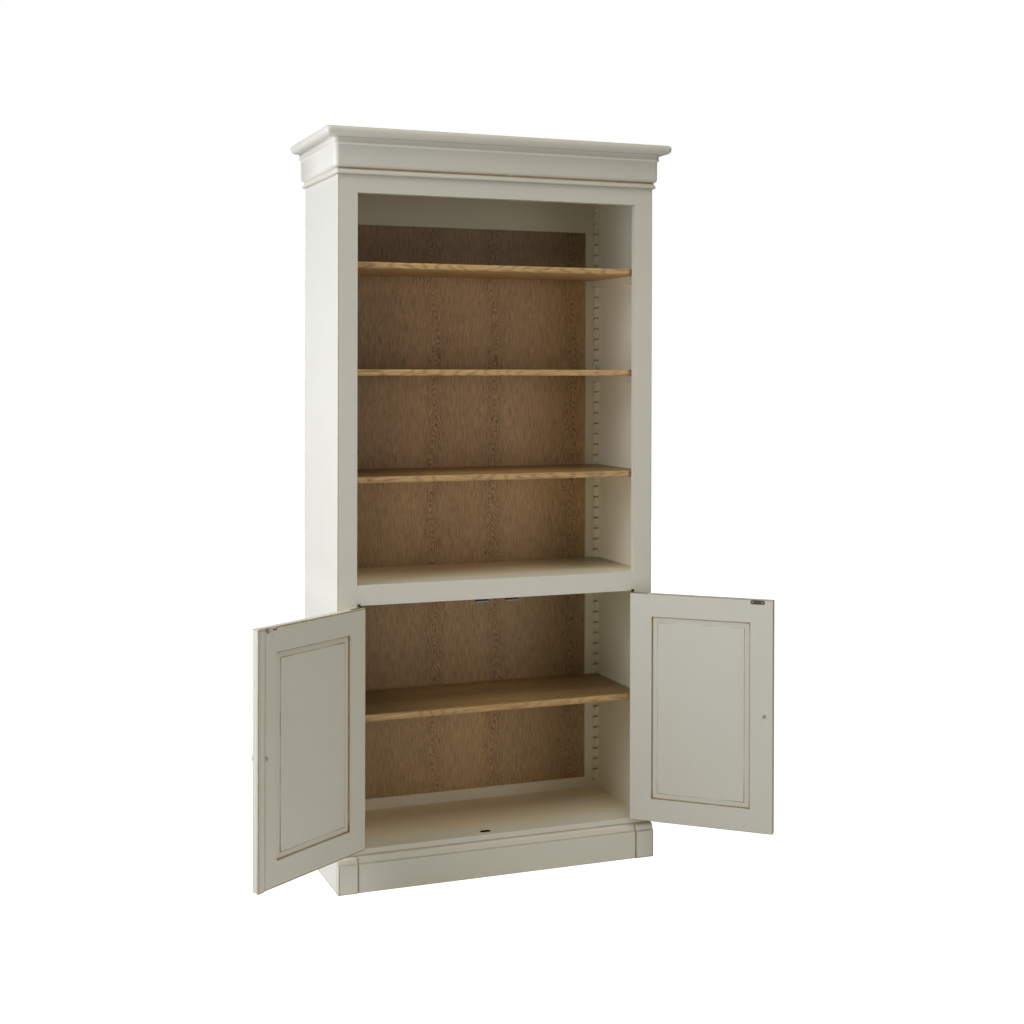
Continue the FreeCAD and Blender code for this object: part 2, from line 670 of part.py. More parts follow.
def panel_tools():
    """Panel groove and softened edges of the panel opening."""
    middle = DOOR_THICKNESS / 2
    half = PANEL_GROOVE_WIDTH / 2
    groove = box(
        PANEL_LEFT - PANEL_GROOVE_DEPTH, PANEL_RIGHT + PANEL_GROOVE_DEPTH,
        middle - half, middle + half,
        PANEL_BOTTOM - PANEL_GROOVE_DEPTH, PANEL_TOP + PANEL_GROOVE_DEPTH,
    )
    spans = (PANEL_LEFT, PANEL_RIGHT, PANEL_BOTTOM, PANEL_TOP)
    return [
        groove,
        opening_arris(*spans, 0, 1),
        opening_arris(*spans, DOOR_THICKNESS, -1),
    ]


def door_tenons(length):
    """Tenons of both door rails over their full span, or the mortises with a longer length."""
    middle = DOOR_THICKNESS / 2
    spans = (
        (DOOR_BOTTOM + DOOR_TENON_SHOULDER, PANEL_BOTTOM - DOOR_TENON_SHOULDER),
        (PANEL_TOP + DOOR_TENON_SHOULDER, DOOR_TOP - DOOR_TENON_SHOULDER),
    )
    return [tenon(PANEL_LEFT - length, PANEL_RIGHT + length, middle, z0, z1) for z0, z1 in spans]


def hinge_plan(grow, z, height):
    """Cranked outline of a hinge leaf: round nose on the pin axis, body set back in the wood."""
    radius = HINGE_NOSE + grow
    start = PIN_X - radius
    body_front = LEAF_SETBACK - grow
    nose = Part.makeCylinder(radius, height, FreeCAD.Vector(PIN_X, 0, z))
    neck = box(start, PIN_X + radius, 0, body_front, z, z + height)
    body = box(
        start, start + LEAF_LENGTH + 2 * grow, body_front, LEAF_SETBACK + LEAF_WIDTH + grow,
        z, z + height,
    )
    return nose.fuse([neck, body]).removeSplitter()


def hinge_recesses():
    """Recesses of the door leaves in the top and bottom edge of the left door."""
    return [
        hinge_plan(LEAF_FIT, DOOR_TOP - LEAF_THICKNESS, LEAF_THICKNESS),
        hinge_plan(LEAF_FIT, DOOR_BOTTOM, LEAF_THICKNESS),
    ]


def door_leaves():
    """Top and bottom hinge leaf of the left door, bored for their pins."""
    leaves = []
    for z in (DOOR_TOP - LEAF_THICKNESS, DOOR_BOTTOM):
        bore = Part.makeCylinder(
            PIN_RADIUS + PIN_CLEARANCE, LEAF_THICKNESS, FreeCAD.Vector(PIN_X, 0, z),
        )
        leaves.append(hinge_plan(0, z, LEAF_THICKNESS).cut(bore))
    return group(*leaves)


def frame_leaf(face, outward, gap):
    """Left hinge leaf let into the frame behind a face, with its washer and pin across the gap."""
    leaf_bottom = face if outward < 0 else face - LEAF_THICKNESS
    axis = UP * outward
    base = FreeCAD.Vector(PIN_X, 0, face)
    washer = Part.makeCylinder(WASHER_RADIUS, gap - WASHER_CLEARANCE, base, axis)
    pin = Part.makeCylinder(PIN_RADIUS, gap + LEAF_THICKNESS - PIN_END_CLEARANCE, base, axis)
    return hinge_plan(0, leaf_bottom, LEAF_THICKNESS).fuse([washer, pin]).removeSplitter()


def frame_leaves():
    """Top and bottom frame leaf of the left door's hinges."""
    return group(
        frame_leaf(MID_RAIL_UNDERSIDE, -1, DOOR_TOP_GAP),
        frame_leaf(FLOOR_TOP, 1, DOOR_BOTTOM_GAP),
    )


def knob_x():
    """Place of the left knob across the shut door."""
    return DOOR_LEADING_EDGE - KNOB_EDGE_DISTANCE


def door_stiles():
    """Hinge stile and leading stile of the left door."""
    blank = door_blank()
    mortises = door_tenons(DOOR_TENON_LENGTH + MORTISE_SPARE)
    hinge_side = box(DOOR_HINGE_EDGE, PANEL_LEFT, 0, DOOR_THICKNESS, DOOR_BOTTOM, DOOR_TOP)
    leading_side = box(PANEL_RIGHT, DOOR_LEADING_EDGE, 0, DOOR_THICKNESS, DOOR_BOTTOM, DOOR_TOP)
    bolt_hole = Part.makeCylinder(
        BOLT_RADIUS + BOLT_CLEARANCE, DOOR_THICKNESS,
        FreeCAD.Vector(knob_x(), 0, KNOB_HEIGHT), FreeCAD.Vector(0, 1, 0),
    )
    hinge_stile = blank.common(hinge_side).cut(mortises + panel_tools() + hinge_recesses())
    leading_stile = blank.common(leading_side).cut(mortises + panel_tools() + [bolt_hole])
    return hinge_stile, leading_stile


def door_rails():
    """Top rail and bottom rail of the left door."""
    blank = door_blank()
    tools = panel_tools()
    rails = []
    tenons = door_tenons(DOOR_TENON_LENGTH)
    for (z0, z1), tongue in zip(((PANEL_TOP, DOOR_TOP), (DOOR_BOTTOM, PANEL_BOTTOM)), reversed(tenons)):
        span = box(PANEL_LEFT, PANEL_RIGHT, 0, DOOR_THICKNESS, z0, z1)
        rail = blank.common(span).fuse(tongue).cut(tools).removeSplitter()
        rails.append(rail)
    return rails


def door_panel():
    """Panel with a tongue in the groove, a flat border and a raised field, alike on both faces."""
    middle = DOOR_THICKNESS / 2
    half_tongue = PANEL_GROOVE_WIDTH / 2 - PANEL_PLAY
    reach = PANEL_GROOVE_DEPTH - MORTISE_SPARE
    panel = box(
        PANEL_LEFT - reach, PANEL_RIGHT + reach, middle - half_tongue, middle + half_tongue,
        PANEL_BOTTOM - reach, PANEL_TOP + reach,
    )
    gap = PANEL_SHADOW_GAP
    border = box(
        PANEL_LEFT + gap, PANEL_RIGHT - gap, PANEL_RECESS, DOOR_THICKNESS - PANEL_RECESS,
        PANEL_BOTTOM + gap, PANEL_TOP - gap,
    )
    inset = PANEL_BORDER
    top_inset = inset + PANEL_STEP_WIDTH
    field = Part.makeWedge(
        PANEL_LEFT + inset, 0, PANEL_BOTTOM + inset, PANEL_BOTTOM + top_inset,
        PANEL_LEFT + top_inset,
        PANEL_RIGHT - inset, PANEL_FIELD_RISE, PANEL_TOP - inset, PANEL_TOP - top_inset,
        PANEL_RIGHT - top_inset,
    )
    inner_field = field.copy()
    inner_field.translate(FreeCAD.Vector(0, DOOR_THICKNESS - PANEL_RECESS, 0))
    outer_field = field.mirror(ORIGIN, FreeCAD.Vector(0, 1, 0))
    outer_field.translate(FreeCAD.Vector(0, PANEL_RECESS, 0))
    return panel.fuse([border, inner_field, outer_field]).removeSplitter()


def closing_batten():
    """Batten on the inside of the left door that laps behind the right one."""
    front = DOOR_THICKNESS
    rear = front + BATTEN_THICKNESS
    end = DOOR_LEADING_EDGE + BATTEN_OVERHANG
    start = end - BATTEN_WIDTH
    crest = (start + BATTEN_OGEE, rear)
    turn = (start + BATTEN_OGEE / 2, (front + rear) / 2)
    foot = (start, front + BATTEN_RELIEF)
    steps = [
        (start, front),
        (DOOR_LEADING_EDGE, front),
        (DOOR_LEADING_EDGE, front + BATTEN_RELIEF),
        (end, front + BATTEN_RELIEF),
        (end, rear - ARRIS),
        (end - ARRIS, rear),
        crest,
        bow(crest, turn, -BATTEN_OGEE_SWELL),
        bow(turn, foot, BATTEN_OGEE_SWELL),
    ]
    return prism(
        steps, lambda x, y: FreeCAD.Vector(x, y, DOOR_BOTTOM + BATTEN_END),
        UP * (DOOR_TOP - DOOR_BOTTOM - 2 * BATTEN_END),
    )


# ---------------------------------------------------------------- knobs, catches and keeper
def knob():
    """Turned knob on the outside of the left door, bored for its bolt."""
    neck_end = KNOB_ROSE_THICKNESS + KNOB_NECK_LENGTH
    rim_start = neck_end + KNOB_FLARE
    steps = [
        (0, 0),
        (KNOB_ROSE_RADIUS, 0),
        (KNOB_ROSE_RADIUS, KNOB_ROSE_THICKNESS),
        (KNOB_NECK_RADIUS, KNOB_ROSE_THICKNESS),
        (KNOB_NECK_RADIUS, neck_end),
        (KNOB_RADIUS - KNOB_FLARE_WIDTH, neck_end),
        (KNOB_RADIUS, rim_start),
        (KNOB_RADIUS, KNOB_LENGTH - KNOB_CROWN),
        (KNOB_RADIUS - KNOB_CROWN, KNOB_LENGTH),
        (0, KNOB_LENGTH),
    ]
    bore = Part.makeCylinder(
        BOLT_RADIUS + BOLT_CLEARANCE, KNOB_BORE_DEPTH,
        FreeCAD.Vector(knob_x(), 0, KNOB_HEIGHT), FreeCAD.Vector(0, -1, 0),
    )
    return turned(steps, knob_x(), 0, KNOB_HEIGHT, -1).cut(bore)


def knob_bolt():
    """Round-headed bolt that holds the left knob from the inside of the door."""
    reach = KNOB_BORE_DEPTH - MORTISE_SPARE
    shank = Part.makeCylinder(
        BOLT_RADIUS, reach + DOOR_THICKNESS,
        FreeCAD.Vector(knob_x(), -reach, KNOB_HEIGHT), FreeCAD.Vector(0, 1, 0),
    )
    steps = [
        (0, 0),
        (BOLT_HEAD_RADIUS, 0),
        (BOLT_HEAD_RADIUS, BOLT_HEAD_HEIGHT - BOLT_HEAD_CHAMFER),
        (BOLT_HEAD_RADIUS - BOLT_HEAD_CHAMFER, BOLT_HEAD_HEIGHT),
        (0, BOLT_HEAD_HEIGHT),
    ]
    head = turned(steps, knob_x(), DOOR_THICKNESS, KNOB_HEIGHT, 1)
    return shank.fuse(head).removeSplitter()


def strike_plate():
    """Oval steel plate on the inside of the left door, opposite its catch."""
    plate = stadium(-CATCH_OFFSET, 0, 0, STRIKE_LENGTH, STRIKE_HEIGHT, STRIKE_THICKNESS)
    plate.rotate(ORIGIN, FreeCAD.Vector(1, 0, 0), -90)
    plate.translate(FreeCAD.Vector(0, DOOR_THICKNESS, STRIKE_HEIGHT_ABOVE_FLOOR))
    return plate


def catch():
    """Left magnetic catch behind the mid rail: housing, and the magnet bar in its front."""
    bottom = MID_RAIL_UNDERSIDE - CATCH_DROP
    face = DOOR_THICKNESS + STRIKE_THICKNESS + CATCH_AIR
    left = -CATCH_OFFSET - CATCH_WIDTH / 2
    right = -CATCH_OFFSET + CATCH_WIDTH / 2
    rear = FRAME_THICKNESS + CATCH_DEPTH
    housing = box(left, right, FRAME_THICKNESS, rear, bottom, bottom + CATCH_HEIGHT)
    corners = []
    for edge in housing.Edges:
        bounds = edge.BoundBox
        if bounds.ZLength > CATCH_HEIGHT / 2 and bounds.YMin > FRAME_THICKNESS + 1:
            corners.append(edge)
    housing = housing.makeFillet(CATCH_CORNER, corners)
    door_room = box(left, right, FRAME_THICKNESS, face, bottom, MID_RAIL_UNDERSIDE)
    pole = box(
        -CATCH_OFFSET - POLE_LENGTH / 2, -CATCH_OFFSET + POLE_LENGTH / 2,
        face, face + POLE_DEPTH, bottom + POLE_RISE, bottom + POLE_RISE + POLE_HEIGHT,
    )
    return housing.cut([door_room, pole]), pole


def magnetic_catches():
    """Both catches, each a housing and a magnet bar."""
    housing, pole = catch()
    return group(housing, pole, mirrored(housing), mirrored(pole))


def keeper_blank(grow, top):
    """Outside of the floor keeper, or its pocket with a fit."""
    return stadium(
        -KEEPER_OFFSET, FRAME_THICKNESS + KEEPER_SETBACK, FLOOR_TOP - KEEPER_DEPTH,
        KEEPER_LENGTH + 2 * grow, KEEPER_WIDTH + 2 * grow, KEEPER_DEPTH + top,
    )


def floor_keeper():
    """Moulded cup let into the floor of the cupboard behind the left door."""
    cup = keeper_blank(0, KEEPER_RIM)
    hollow = stadium(
        -KEEPER_OFFSET, FRAME_THICKNESS + KEEPER_SETBACK, FLOOR_TOP - KEEPER_DEPTH + KEEPER_WALL,
        KEEPER_LENGTH - 2 * KEEPER_WALL, KEEPER_WIDTH - 2 * KEEPER_WALL, KEEPER_DEPTH,
    )
    return cup.cut(hollow)


# ---------------------------------------------------------------- assembly
def mid_rail():
    """Rail between bookcase and cupboard, recessed for the top frame leaves."""
    recess = hinge_plan(LEAF_FIT, MID_RAIL_UNDERSIDE, LEAF_THICKNESS)
    pocket = Part.makeCylinder(
        HINGE_NOSE + 2 * LEAF_FIT, NOSE_POCKET, FreeCAD.Vector(PIN_X, 0, MID_RAIL_UNDERSIDE),
    )
    tools = [recess, mirrored(recess), pocket, mirrored(pocket)]
    return face_frame_rail(MID_RAIL_UNDERSIDE, DIVIDER_TOP).cut(tools + frame_opening_tools())


def bottom_rail():
    """Rail below the doors, recessed for the bottom frame leaves."""
    recess = hinge_plan(LEAF_FIT, FLOOR_TOP - LEAF_THICKNESS, LEAF_THICKNESS)
    rail = face_frame_rail(FLOOR_TOP - BOTTOM_RAIL_HEIGHT, FLOOR_TOP)
    return rail.cut([recess, mirrored(recess)] + frame_opening_tools())


def carcass_nodes():
    """All pieces of the standing carcass."""
    ceiling_top = CEILING_UNDERSIDE + CEILING_THICKNESS
    top_rail = face_frame_rail(TOP_RAIL_UNDERSIDE, CARCASS_HEIGHT).cut(frame_opening_tools())
    nodes = {
        "side_panel_left": side_panel(),
        "front_stile_left": front_stile(),
        "back_stile_left": back_stile(),
        "top_rail": top_rail,
        "mid_rail": mid_rail(),
        "bottom_rail": bottom_rail(),
        "ceiling_panel": housed_board(CEILING_UNDERSIDE, ceiling_top),
        "divider_board": divider_board(),
        "cupboard_floor": housed_board(FLOOR_UNDERSIDE, FLOOR_TOP).cut(keeper_blank(KEEPER_FIT, 0)),
        "back_top_rail": back_rail(
            BACK_TOP_RAIL_UNDERSIDE, CARCASS_HEIGHT, BACK_TOP_RAIL_UNDERSIDE,
        ),
        "back_bottom_rail": back_rail(
            FLOOR_UNDERSIDE, BACK_BOTTOM_RAIL_TOP, BACK_BOTTOM_RAIL_TOP,
        ),
        "oak_back_panel": oak_back_panel(),
        "magnetic_catches": magnetic_catches(),
        "floor_keeper": floor_keeper(),
        "hinge_frame_leaves_left": frame_leaves(),
        "cornice_board": cornice_board(),
        "plinth_board": plinth_length(
            PLINTH_BOARD_PROJECTION, -OPENING + PLINTH_JOINT, OPENING - PLINTH_JOINT, True, True,
        ),
        "plinth_block_left": plinth_length(
            PLINTH_BLOCK_PROJECTION, -SIDE_OUT, -OPENING, False, True,
        ),
    }
    nodes.update(moulding_set("frieze", frieze_profile()))
    nodes.update(moulding_set("neck_bead", bead_profile()))
    for name in ("side_panel", "front_stile", "back_stile", "hinge_frame_leaves", "plinth_block"):
        nodes[name + "_right"] = mirrored(nodes[name + "_left"])
    return nodes


def shelving_nodes():
    """Racks, cleats and shelves of both bays."""
    nodes = {}
    bays = (
        ("upper", DIVIDER_TOP, CEILING_UNDERSIDE, UPPER_FIRST_LEDGE, UPPER_SHELF_HEIGHTS),
        ("lower", FLOOR_TOP, DIVIDER_UNDERSIDE, LOWER_FIRST_LEDGE, LOWER_SHELF_HEIGHTS),
    )
    number = 0
    for bay, bottom, top, first_ledge, heights in bays:
        ledges = ledge_heights(bottom, top, first_ledge)
        racks = rack_pair(bottom, top, ledges)
        nodes[bay + "_racks_left"] = racks
        nodes[bay + "_racks_right"] = mirrored(racks)
        for height in heights:
            number += 1
            ledge = ledge_for(ledges, bottom + height)
            nodes["shelf_cleats_" + str(number)] = group(cleat(ledge), mirrored(cleat(ledge)))
            nodes["shelf_" + str(number)] = shelf(ledge)
    return nodes


def shut_door():
    """Pieces that both doors have, as a left door modelled shut."""
    hinge_stile, leading_stile = door_stiles()
    top_rail, bottom_rail_of_door = door_rails()
    return {
        "hinge_stile": hinge_stile,
        "leading_stile": leading_stile,
        "top_rail": top_rail,
        "bottom_rail": bottom_rail_of_door,
        "panel": door_panel(),
        "knob": knob(),
        "knob_bolt": knob_bolt(),
        "strike_plate": strike_plate(),
        "hinge_leaves": door_leaves(),
    }


def door_nodes():
    """Both doors, swung open about their hinge pins."""
    nodes = {}
    pieces = shut_door()
    for name, shape in pieces.items():
        nodes["left_door_" + name] = shape
        nodes["right_door_" + name] = mirrored(shape)
    nodes["left_door_closing_batten"] = closing_batten()
    for name, shape in nodes.items():
        left = name.startswith("left")
        pin = FreeCAD.Vector(PIN_X if left else -PIN_X, 0, 0)
        shape.rotate(pin, UP, -LEFT_REST_ANGLE if left else RIGHT_REST_ANGLE)
    return nodes


os.makedirs("parts", exist_ok=True)
assembly = {**carcass_nodes(), **shelving_nodes(), **door_nodes()}
for node_name, node_shape in assembly.items():
    node_shape.exportStep("parts/" + node_name + ".step")
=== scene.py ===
"""Bookcase with cabinet doors: antique-white paint, brown glaze, stained oak, brass and steel."""

import json
import math

import bmesh
import bpy
from bmesh.types import BMEdge, BMFace, BMVert
from mathutils import Matrix, Vector


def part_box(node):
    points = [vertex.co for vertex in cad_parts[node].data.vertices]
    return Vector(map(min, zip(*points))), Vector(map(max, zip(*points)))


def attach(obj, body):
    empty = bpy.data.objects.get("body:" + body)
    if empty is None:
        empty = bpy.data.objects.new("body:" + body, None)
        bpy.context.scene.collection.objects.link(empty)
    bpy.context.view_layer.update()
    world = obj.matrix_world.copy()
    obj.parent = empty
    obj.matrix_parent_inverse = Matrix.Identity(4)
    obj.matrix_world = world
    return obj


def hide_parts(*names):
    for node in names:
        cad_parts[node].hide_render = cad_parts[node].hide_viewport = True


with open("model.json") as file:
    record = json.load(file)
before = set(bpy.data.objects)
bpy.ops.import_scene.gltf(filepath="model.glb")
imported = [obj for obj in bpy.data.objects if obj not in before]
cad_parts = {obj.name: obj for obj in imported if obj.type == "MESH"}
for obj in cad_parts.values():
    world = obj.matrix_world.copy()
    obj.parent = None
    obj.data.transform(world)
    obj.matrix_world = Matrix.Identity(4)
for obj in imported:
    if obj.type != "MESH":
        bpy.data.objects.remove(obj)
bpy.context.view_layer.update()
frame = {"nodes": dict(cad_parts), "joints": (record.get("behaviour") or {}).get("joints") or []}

bl_info = {
    "name": "Bookcase with cabinet doors",
    "version": (1, 0, 0),
    "blender": (4, 5, 0),
    "location": "3D View > Sidebar > Bookcase",
    "description": "Finishes a painted oak bookcase: paint, glaze, oak, fittings and a studio",
    "category": "Object",
}

NODES = frame["nodes"]
HINGES = {joint["child"]: joint for joint in frame["joints"]}
MM = 0.001

# Places in the case, in metres.
OPENING_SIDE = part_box("front_stile_right")[0].x
BOOKCASE_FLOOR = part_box("divider_board")[1].z
TOP_RAIL_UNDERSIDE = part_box("top_rail")[0].z
CUPBOARD_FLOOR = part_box("cupboard_floor")[1].z
MID_RAIL_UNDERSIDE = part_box("mid_rail")[0].z
CASE_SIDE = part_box("side_panel_right")[1].x
CASE_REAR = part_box("side_panel_right")[1].y
CORNICE_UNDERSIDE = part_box("cornice_board")[0].z
FRIEZE_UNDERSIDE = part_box("frieze_front")[0].z
BEAD_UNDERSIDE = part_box("neck_bead_front")[0].z
PLINTH_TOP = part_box("plinth_board")[1].z
BLOCK_INNER_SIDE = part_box("plinth_block_right")[0].x
BACK_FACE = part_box("back_stile_right")[0].y
REAR_RACK_FACE = BACK_FACE - 0.013
FRONT_RACK_FACE = 0.035
RACK_PITCH = 0.0347
UPPER_LEDGE = BOOKCASE_FLOOR + 0.026
LOWER_LEDGE = CUPBOARD_FLOOR + 0.0575
FRIEZE_LIP = CORNICE_UNDERSIDE - 0.0195
CEILING_MIDDLE = CORNICE_UNDERSIDE - 0.107
WALL_MIDDLE = CASE_SIDE - 0.009
PLINTH_GROOVE = 0.0832
FLOORS = (BOOKCASE_FLOOR, CUPBOARD_FLOOR)
OPENINGS = ((BOOKCASE_FLOOR, TOP_RAIL_UNDERSIDE), (CUPBOARD_FLOOR, MID_RAIL_UNDERSIDE))

# The shut left door and its batten, and how far its panel and the panel's raised field lie inside
# its outline, in metres. The right door mirrors it.
DOOR_LOW, DOOR_HIGH = Vector((-0.4393, 0, 0.123)), Vector((-0.0013, 0.023, 0.818))
BATTEN_LOW, BATTEN_HIGH = (-0.0215, 0.023, 0.125), (0.0077, 0.0287, 0.816)
PANEL_INSET = Vector((0.0695, 0, 0.07))
FIELD_INSET = PANEL_INSET + Vector((0.0175, 0, 0.0175))

# How deep the grain of each finish goes, and the distance within which two places are the same.
PAINT_RELIEF = 0.12 * MM
OAK_RELIEF = 0.15 * MM
METAL_RELIEF = 0.05 * MM
TINY = 0.01 * MM


def linear(red, green, blue):
    """Turns display values from 0 to 255 into Blender's linear colour."""
    def channel(value):
        value /= 255
        return value / 12.92 if value <= 0.04045 else ((value + 0.055) / 1.055) ** 2.4
    return (channel(red), channel(green), channel(blue))


# Settings

def colour_setting(name, description, *display):
    """A colour whose default is given in display values."""
    return bpy.props.FloatVectorProperty(
        name=name, description=description, default=linear(*display), size=3, min=0, max=1, subtype="COLOR")


def number_setting(name, description, default, **kind):
    return bpy.props.FloatProperty(name=name, description=description, default=default, min=0, **kind)


def length_setting(*given):
    return number_setting(*given, unit="LENGTH", precision=5)


def share_setting(*given):
    return number_setting(*given, max=1, subtype="FACTOR")


def power_setting(*given):
    return number_setting(*given, unit="POWER")


class PaintSettings(bpy.types.PropertyGroup):
    paint: colour_setting("Paint", "Antique-white paint of the case and doors", 227, 224, 206)
    # Painted light: the paint as it looks in the light inside the case.
    inside: colour_setting("Inside", "Painted light inside the case", 243, 237, 207)
    glaze: colour_setting("Glaze", "Brown glaze left in grooves", 168, 141, 84)
    mottle: share_setting("Mottle", "Uneven tone of the paint", 0.05)
    # Painted light: the paint where boards lie flat and catch the light from above.
    floor: colour_setting("Board floors", "Painted light where boards lie flat", 235, 223, 192)
    line: length_setting("Glaze line", "Width of glaze in a groove", 0.0048)
    board_corner: length_setting("Board corner", "Rounding of the cornice board's corners", 0.0162)
    rub: length_setting("Rubbed edge", "Width of the worn line along an edge", 0.0031)


class OakSettings(bpy.types.PropertyGroup):
    shelf_light: colour_setting("Shelf light", "Light wood of the shelves", 227, 187, 124)
    shelf_dark: colour_setting("Shelf dark", "Year rings and pores of the shelves", 138, 100, 58)
    back_light: colour_setting("Back light", "Light wood of the back panel", 191, 157, 107)
    back_dark: colour_setting("Back dark", "Year rings and pores of the back panel", 98, 78, 50)
    # Painted light and shade on the back panel.
    back_painted_light: share_setting("Bleaching", "Paler wood in the middle of the back panel", 0.54)
    ring: length_setting("Ring width", "Distance between year rings", 0.02)
    # Painted shade on the flat tops of the shelves.
    shelf_top_shade: share_setting("Shelf tops", "Tone of the flat tops beside the polished noses", 0.62)


class MetalSettings(bpy.types.PropertyGroup):
    brass: colour_setting("Brass", "Hinges", 222, 176, 92)
    patina: colour_setting("Patina", "Dark film on brass and steel", 58, 48, 34)
    steel: colour_setting("Screw steel", "Zinc-plated screws and bolts", 194, 204, 196)
    plate: colour_setting("Strike plate", "Dark steel of the strike plates", 130, 122, 102)
    catch: colour_setting("Catch", "Moulded housing of the magnetic catches", 28, 36, 42)
    keeper: colour_setting("Keeper", "Moulded floor keeper", 30, 28, 26)


class StudioSettings(bpy.types.PropertyGroup):
    key: power_setting("Key light", "Power of the window-like light on the left", 86)
    key_size: length_setting("Key size", "Side of the square key light", 2.4)
    fill: power_setting("Fill light", "Power of the soft light in front on the right", 20)
    overhead: power_setting("Overhead light", "Power of the soft light above", 35)
    ambient: share_setting("Ambient", "Brightness of the room", 0.19)
    floor: colour_setting("Floor", "Pale studio floor", 240, 238, 235)


SETTINGS = {
    "bookcase_paint": PaintSettings,
    "bookcase_oak": OakSettings,
    "bookcase_metal": MetalSettings,
    "bookcase_studio": StudioSettings,
}


# Shader nodes

class Shading:
    """Adds nodes to a node tree and links them."""

    def __init__(self, tree):
        self.tree = tree

    def node(self, kind, feeds=None, **settings):
        node = self.tree.nodes.new(kind)
        for name, value in settings.items():
            setattr(node, name, value)
        for name, value in (feeds or {}).items():
            self.feed(node.inputs[name], value)
        return node

    def feed(self, socket, value):
        if isinstance(value, bpy.types.NodeSocket):
            self.tree.links.new(value, socket)
        elif socket.type == "RGBA" and len(value) == 3:
            socket.default_value = (*value, 1)
        else:
            socket.default_value = value

    def math(self, operation, *values, clamp=False):
        feeds = dict(enumerate(values))
        return self.node("ShaderNodeMath", feeds, operation=operation, use_clamp=clamp).outputs[0]

    def vector(self, operation, *values):
        return self.node("ShaderNodeVectorMath", dict(enumerate(values)), operation=operation).outputs[0]

    def split(self, vector):
        return self.node("ShaderNodeSeparateXYZ", {0: vector}).outputs

    def join(self, x, y, z):
        return self.node("ShaderNodeCombineXYZ", {0: x, 1: y, 2: z}).outputs[0]

    def noise(self, place, scale, detail=2, roughness=0.5):
        feeds = {"Vector": place, "Scale": scale, "Detail": detail, "Roughness": roughness}
        return self.node("ShaderNodeTexNoise", feeds).outputs[0]

    def streaks(self, place, stretch, detail=2, roughness=0.5):
        """Noise in a place whose axes are scaled apart."""
        return self.noise(self.vector("MULTIPLY", place, stretch), 1, detail, roughness)

    def distance(self, first, second):
        feeds = {0: first, 1: second}
        return self.node("ShaderNodeVectorMath", feeds, operation="DISTANCE").outputs["Value"]

    def ease(self, value, low, high, start=0, end=1):
        """A smooth step from start to end as value goes from low to high."""
        feeds = {"Value": value, "From Min": low, "From Max": high, "To Min": start, "To Max": end}
        return self.node("ShaderNodeMapRange", feeds, interpolation_type="SMOOTHSTEP").outputs[0]

    def fade(self, value, low, high):
        """A smooth step from 1 to 0."""
        return self.ease(value, low, high, 1, 0)

    def near(self, value, level, width):
        """1 where a value is at a level, easing to 0 at the width from it."""
        return self.fade(self.absolute(self.minus(value, level)), 0, width)

    def mix(self, share, first, second, blend="MIX"):
        feeds = {0: share, 6: first, 7: second}
        return self.node("ShaderNodeMix", feeds, data_type="RGBA", blend_type=blend).outputs[2]

    def fold(self, operation, values):
        result, *others = values
        for value in others:
            result = self.math(operation, result, value)
        return result

    def plus(self, *values):
        return self.fold("ADD", values)

    def times(self, *values):
        return self.fold("MULTIPLY", values)

    def most(self, *values):
        return self.fold("MAXIMUM", values)

    def least(self, *values):
        return self.fold("MINIMUM", values)

    def minus(self, first, second):
        return self.math("SUBTRACT", first, second)

    def scaled(self, value, factor, start):
        """A value times a factor, plus a start."""
        return self.math("MULTIPLY_ADD", value, factor, start)

    def swing(self, noise, strength, start):
        """A noise about its middle, scaled, plus a start."""
        return self.scaled(self.minus(noise, 0.5), strength, start)

    def absolute(self, value):
        return self.math("ABSOLUTE", value)


SURFACE_OUTPUTS = {"Colour": "Color", "Roughness": "Float", "Height": "Float"}


def shader_group(name, inputs, outputs):
    """An empty node group. An input is given by its kind, or by its default where it is a float."""
    tree = bpy.data.node_groups.new(name, "ShaderNodeTree")
    for socket, given in inputs.items():
        kind = given if isinstance(given, str) else "Float"
        made = tree.interface.new_socket(socket, in_out="INPUT", socket_type=f"NodeSocket{kind}")
        if kind == "Float":
            made.default_value = given
    for socket, kind in outputs.items():
        tree.interface.new_socket(socket, in_out="OUTPUT", socket_type=f"NodeSocket{kind}")
    s = Shading(tree)
    return s, s.node("NodeGroupInput").outputs, s.node("NodeGroupOutput").inputs


def grouped(s, name, feeds):
    """The outputs of a shared node group, by name. Each group is made once."""
    if name not in bpy.data.node_groups:
        GROUP_MAKERS[name]()
    return dict(s.node("ShaderNodeGroup", feeds, node_tree=bpy.data.node_groups[name]).outputs)


def box_feeds(place, low, high):
    """What a group that works round a box is fed with."""
    low, high = Vector(low), Vector(high)
    return {"Place": place, "Centre": (low + high) / 2, "Half": (high - low) / 2}


def board_edges(s, place, low, high, width):
    return grouped(s, "Board edges", {**box_feeds(place, low, high), "Width": width})["Edge"]


def aged_metal(s, place, colour, patina, film):
    return grouped(s, "Aged metal", {
        "Place": place, "Patina": patina, "Metal colour": colour, "Patina colour": film})


def glaze_outline_group():
    """Glaze along a rectangle's outline, in a plane of X and Z, and how near a corner a point is."""
    s, given, out = shader_group("Glaze outline", {
        "Place": "Vector",
        "Centre": "Vector",
        "Half": "Vector",
        "Inner width": 0.003,
        "Outer width": 0.001,
        "Corner reach": 0.04,
    }, {"Line": "Float", "Corner": "Float"})
    from_centre = s.vector("ABSOLUTE", s.vector("SUBTRACT", given["Place"], given["Centre"]))
    past = s.split(s.vector("SUBTRACT", from_centre, given["Half"]))
    signed = s.most(past[0], past[2])
    inner = s.ease(signed, s.times(given["Inner width"], -1), 0)
    outer = s.fade(signed, 0, given["Outer width"])
    s.feed(out["Line"], s.least(inner, outer))
    reach = s.most(s.absolute(past[0]), s.absolute(past[2]))
    s.feed(out["Corner"], s.fade(reach, 0, given["Corner reach"]))
    return s.tree


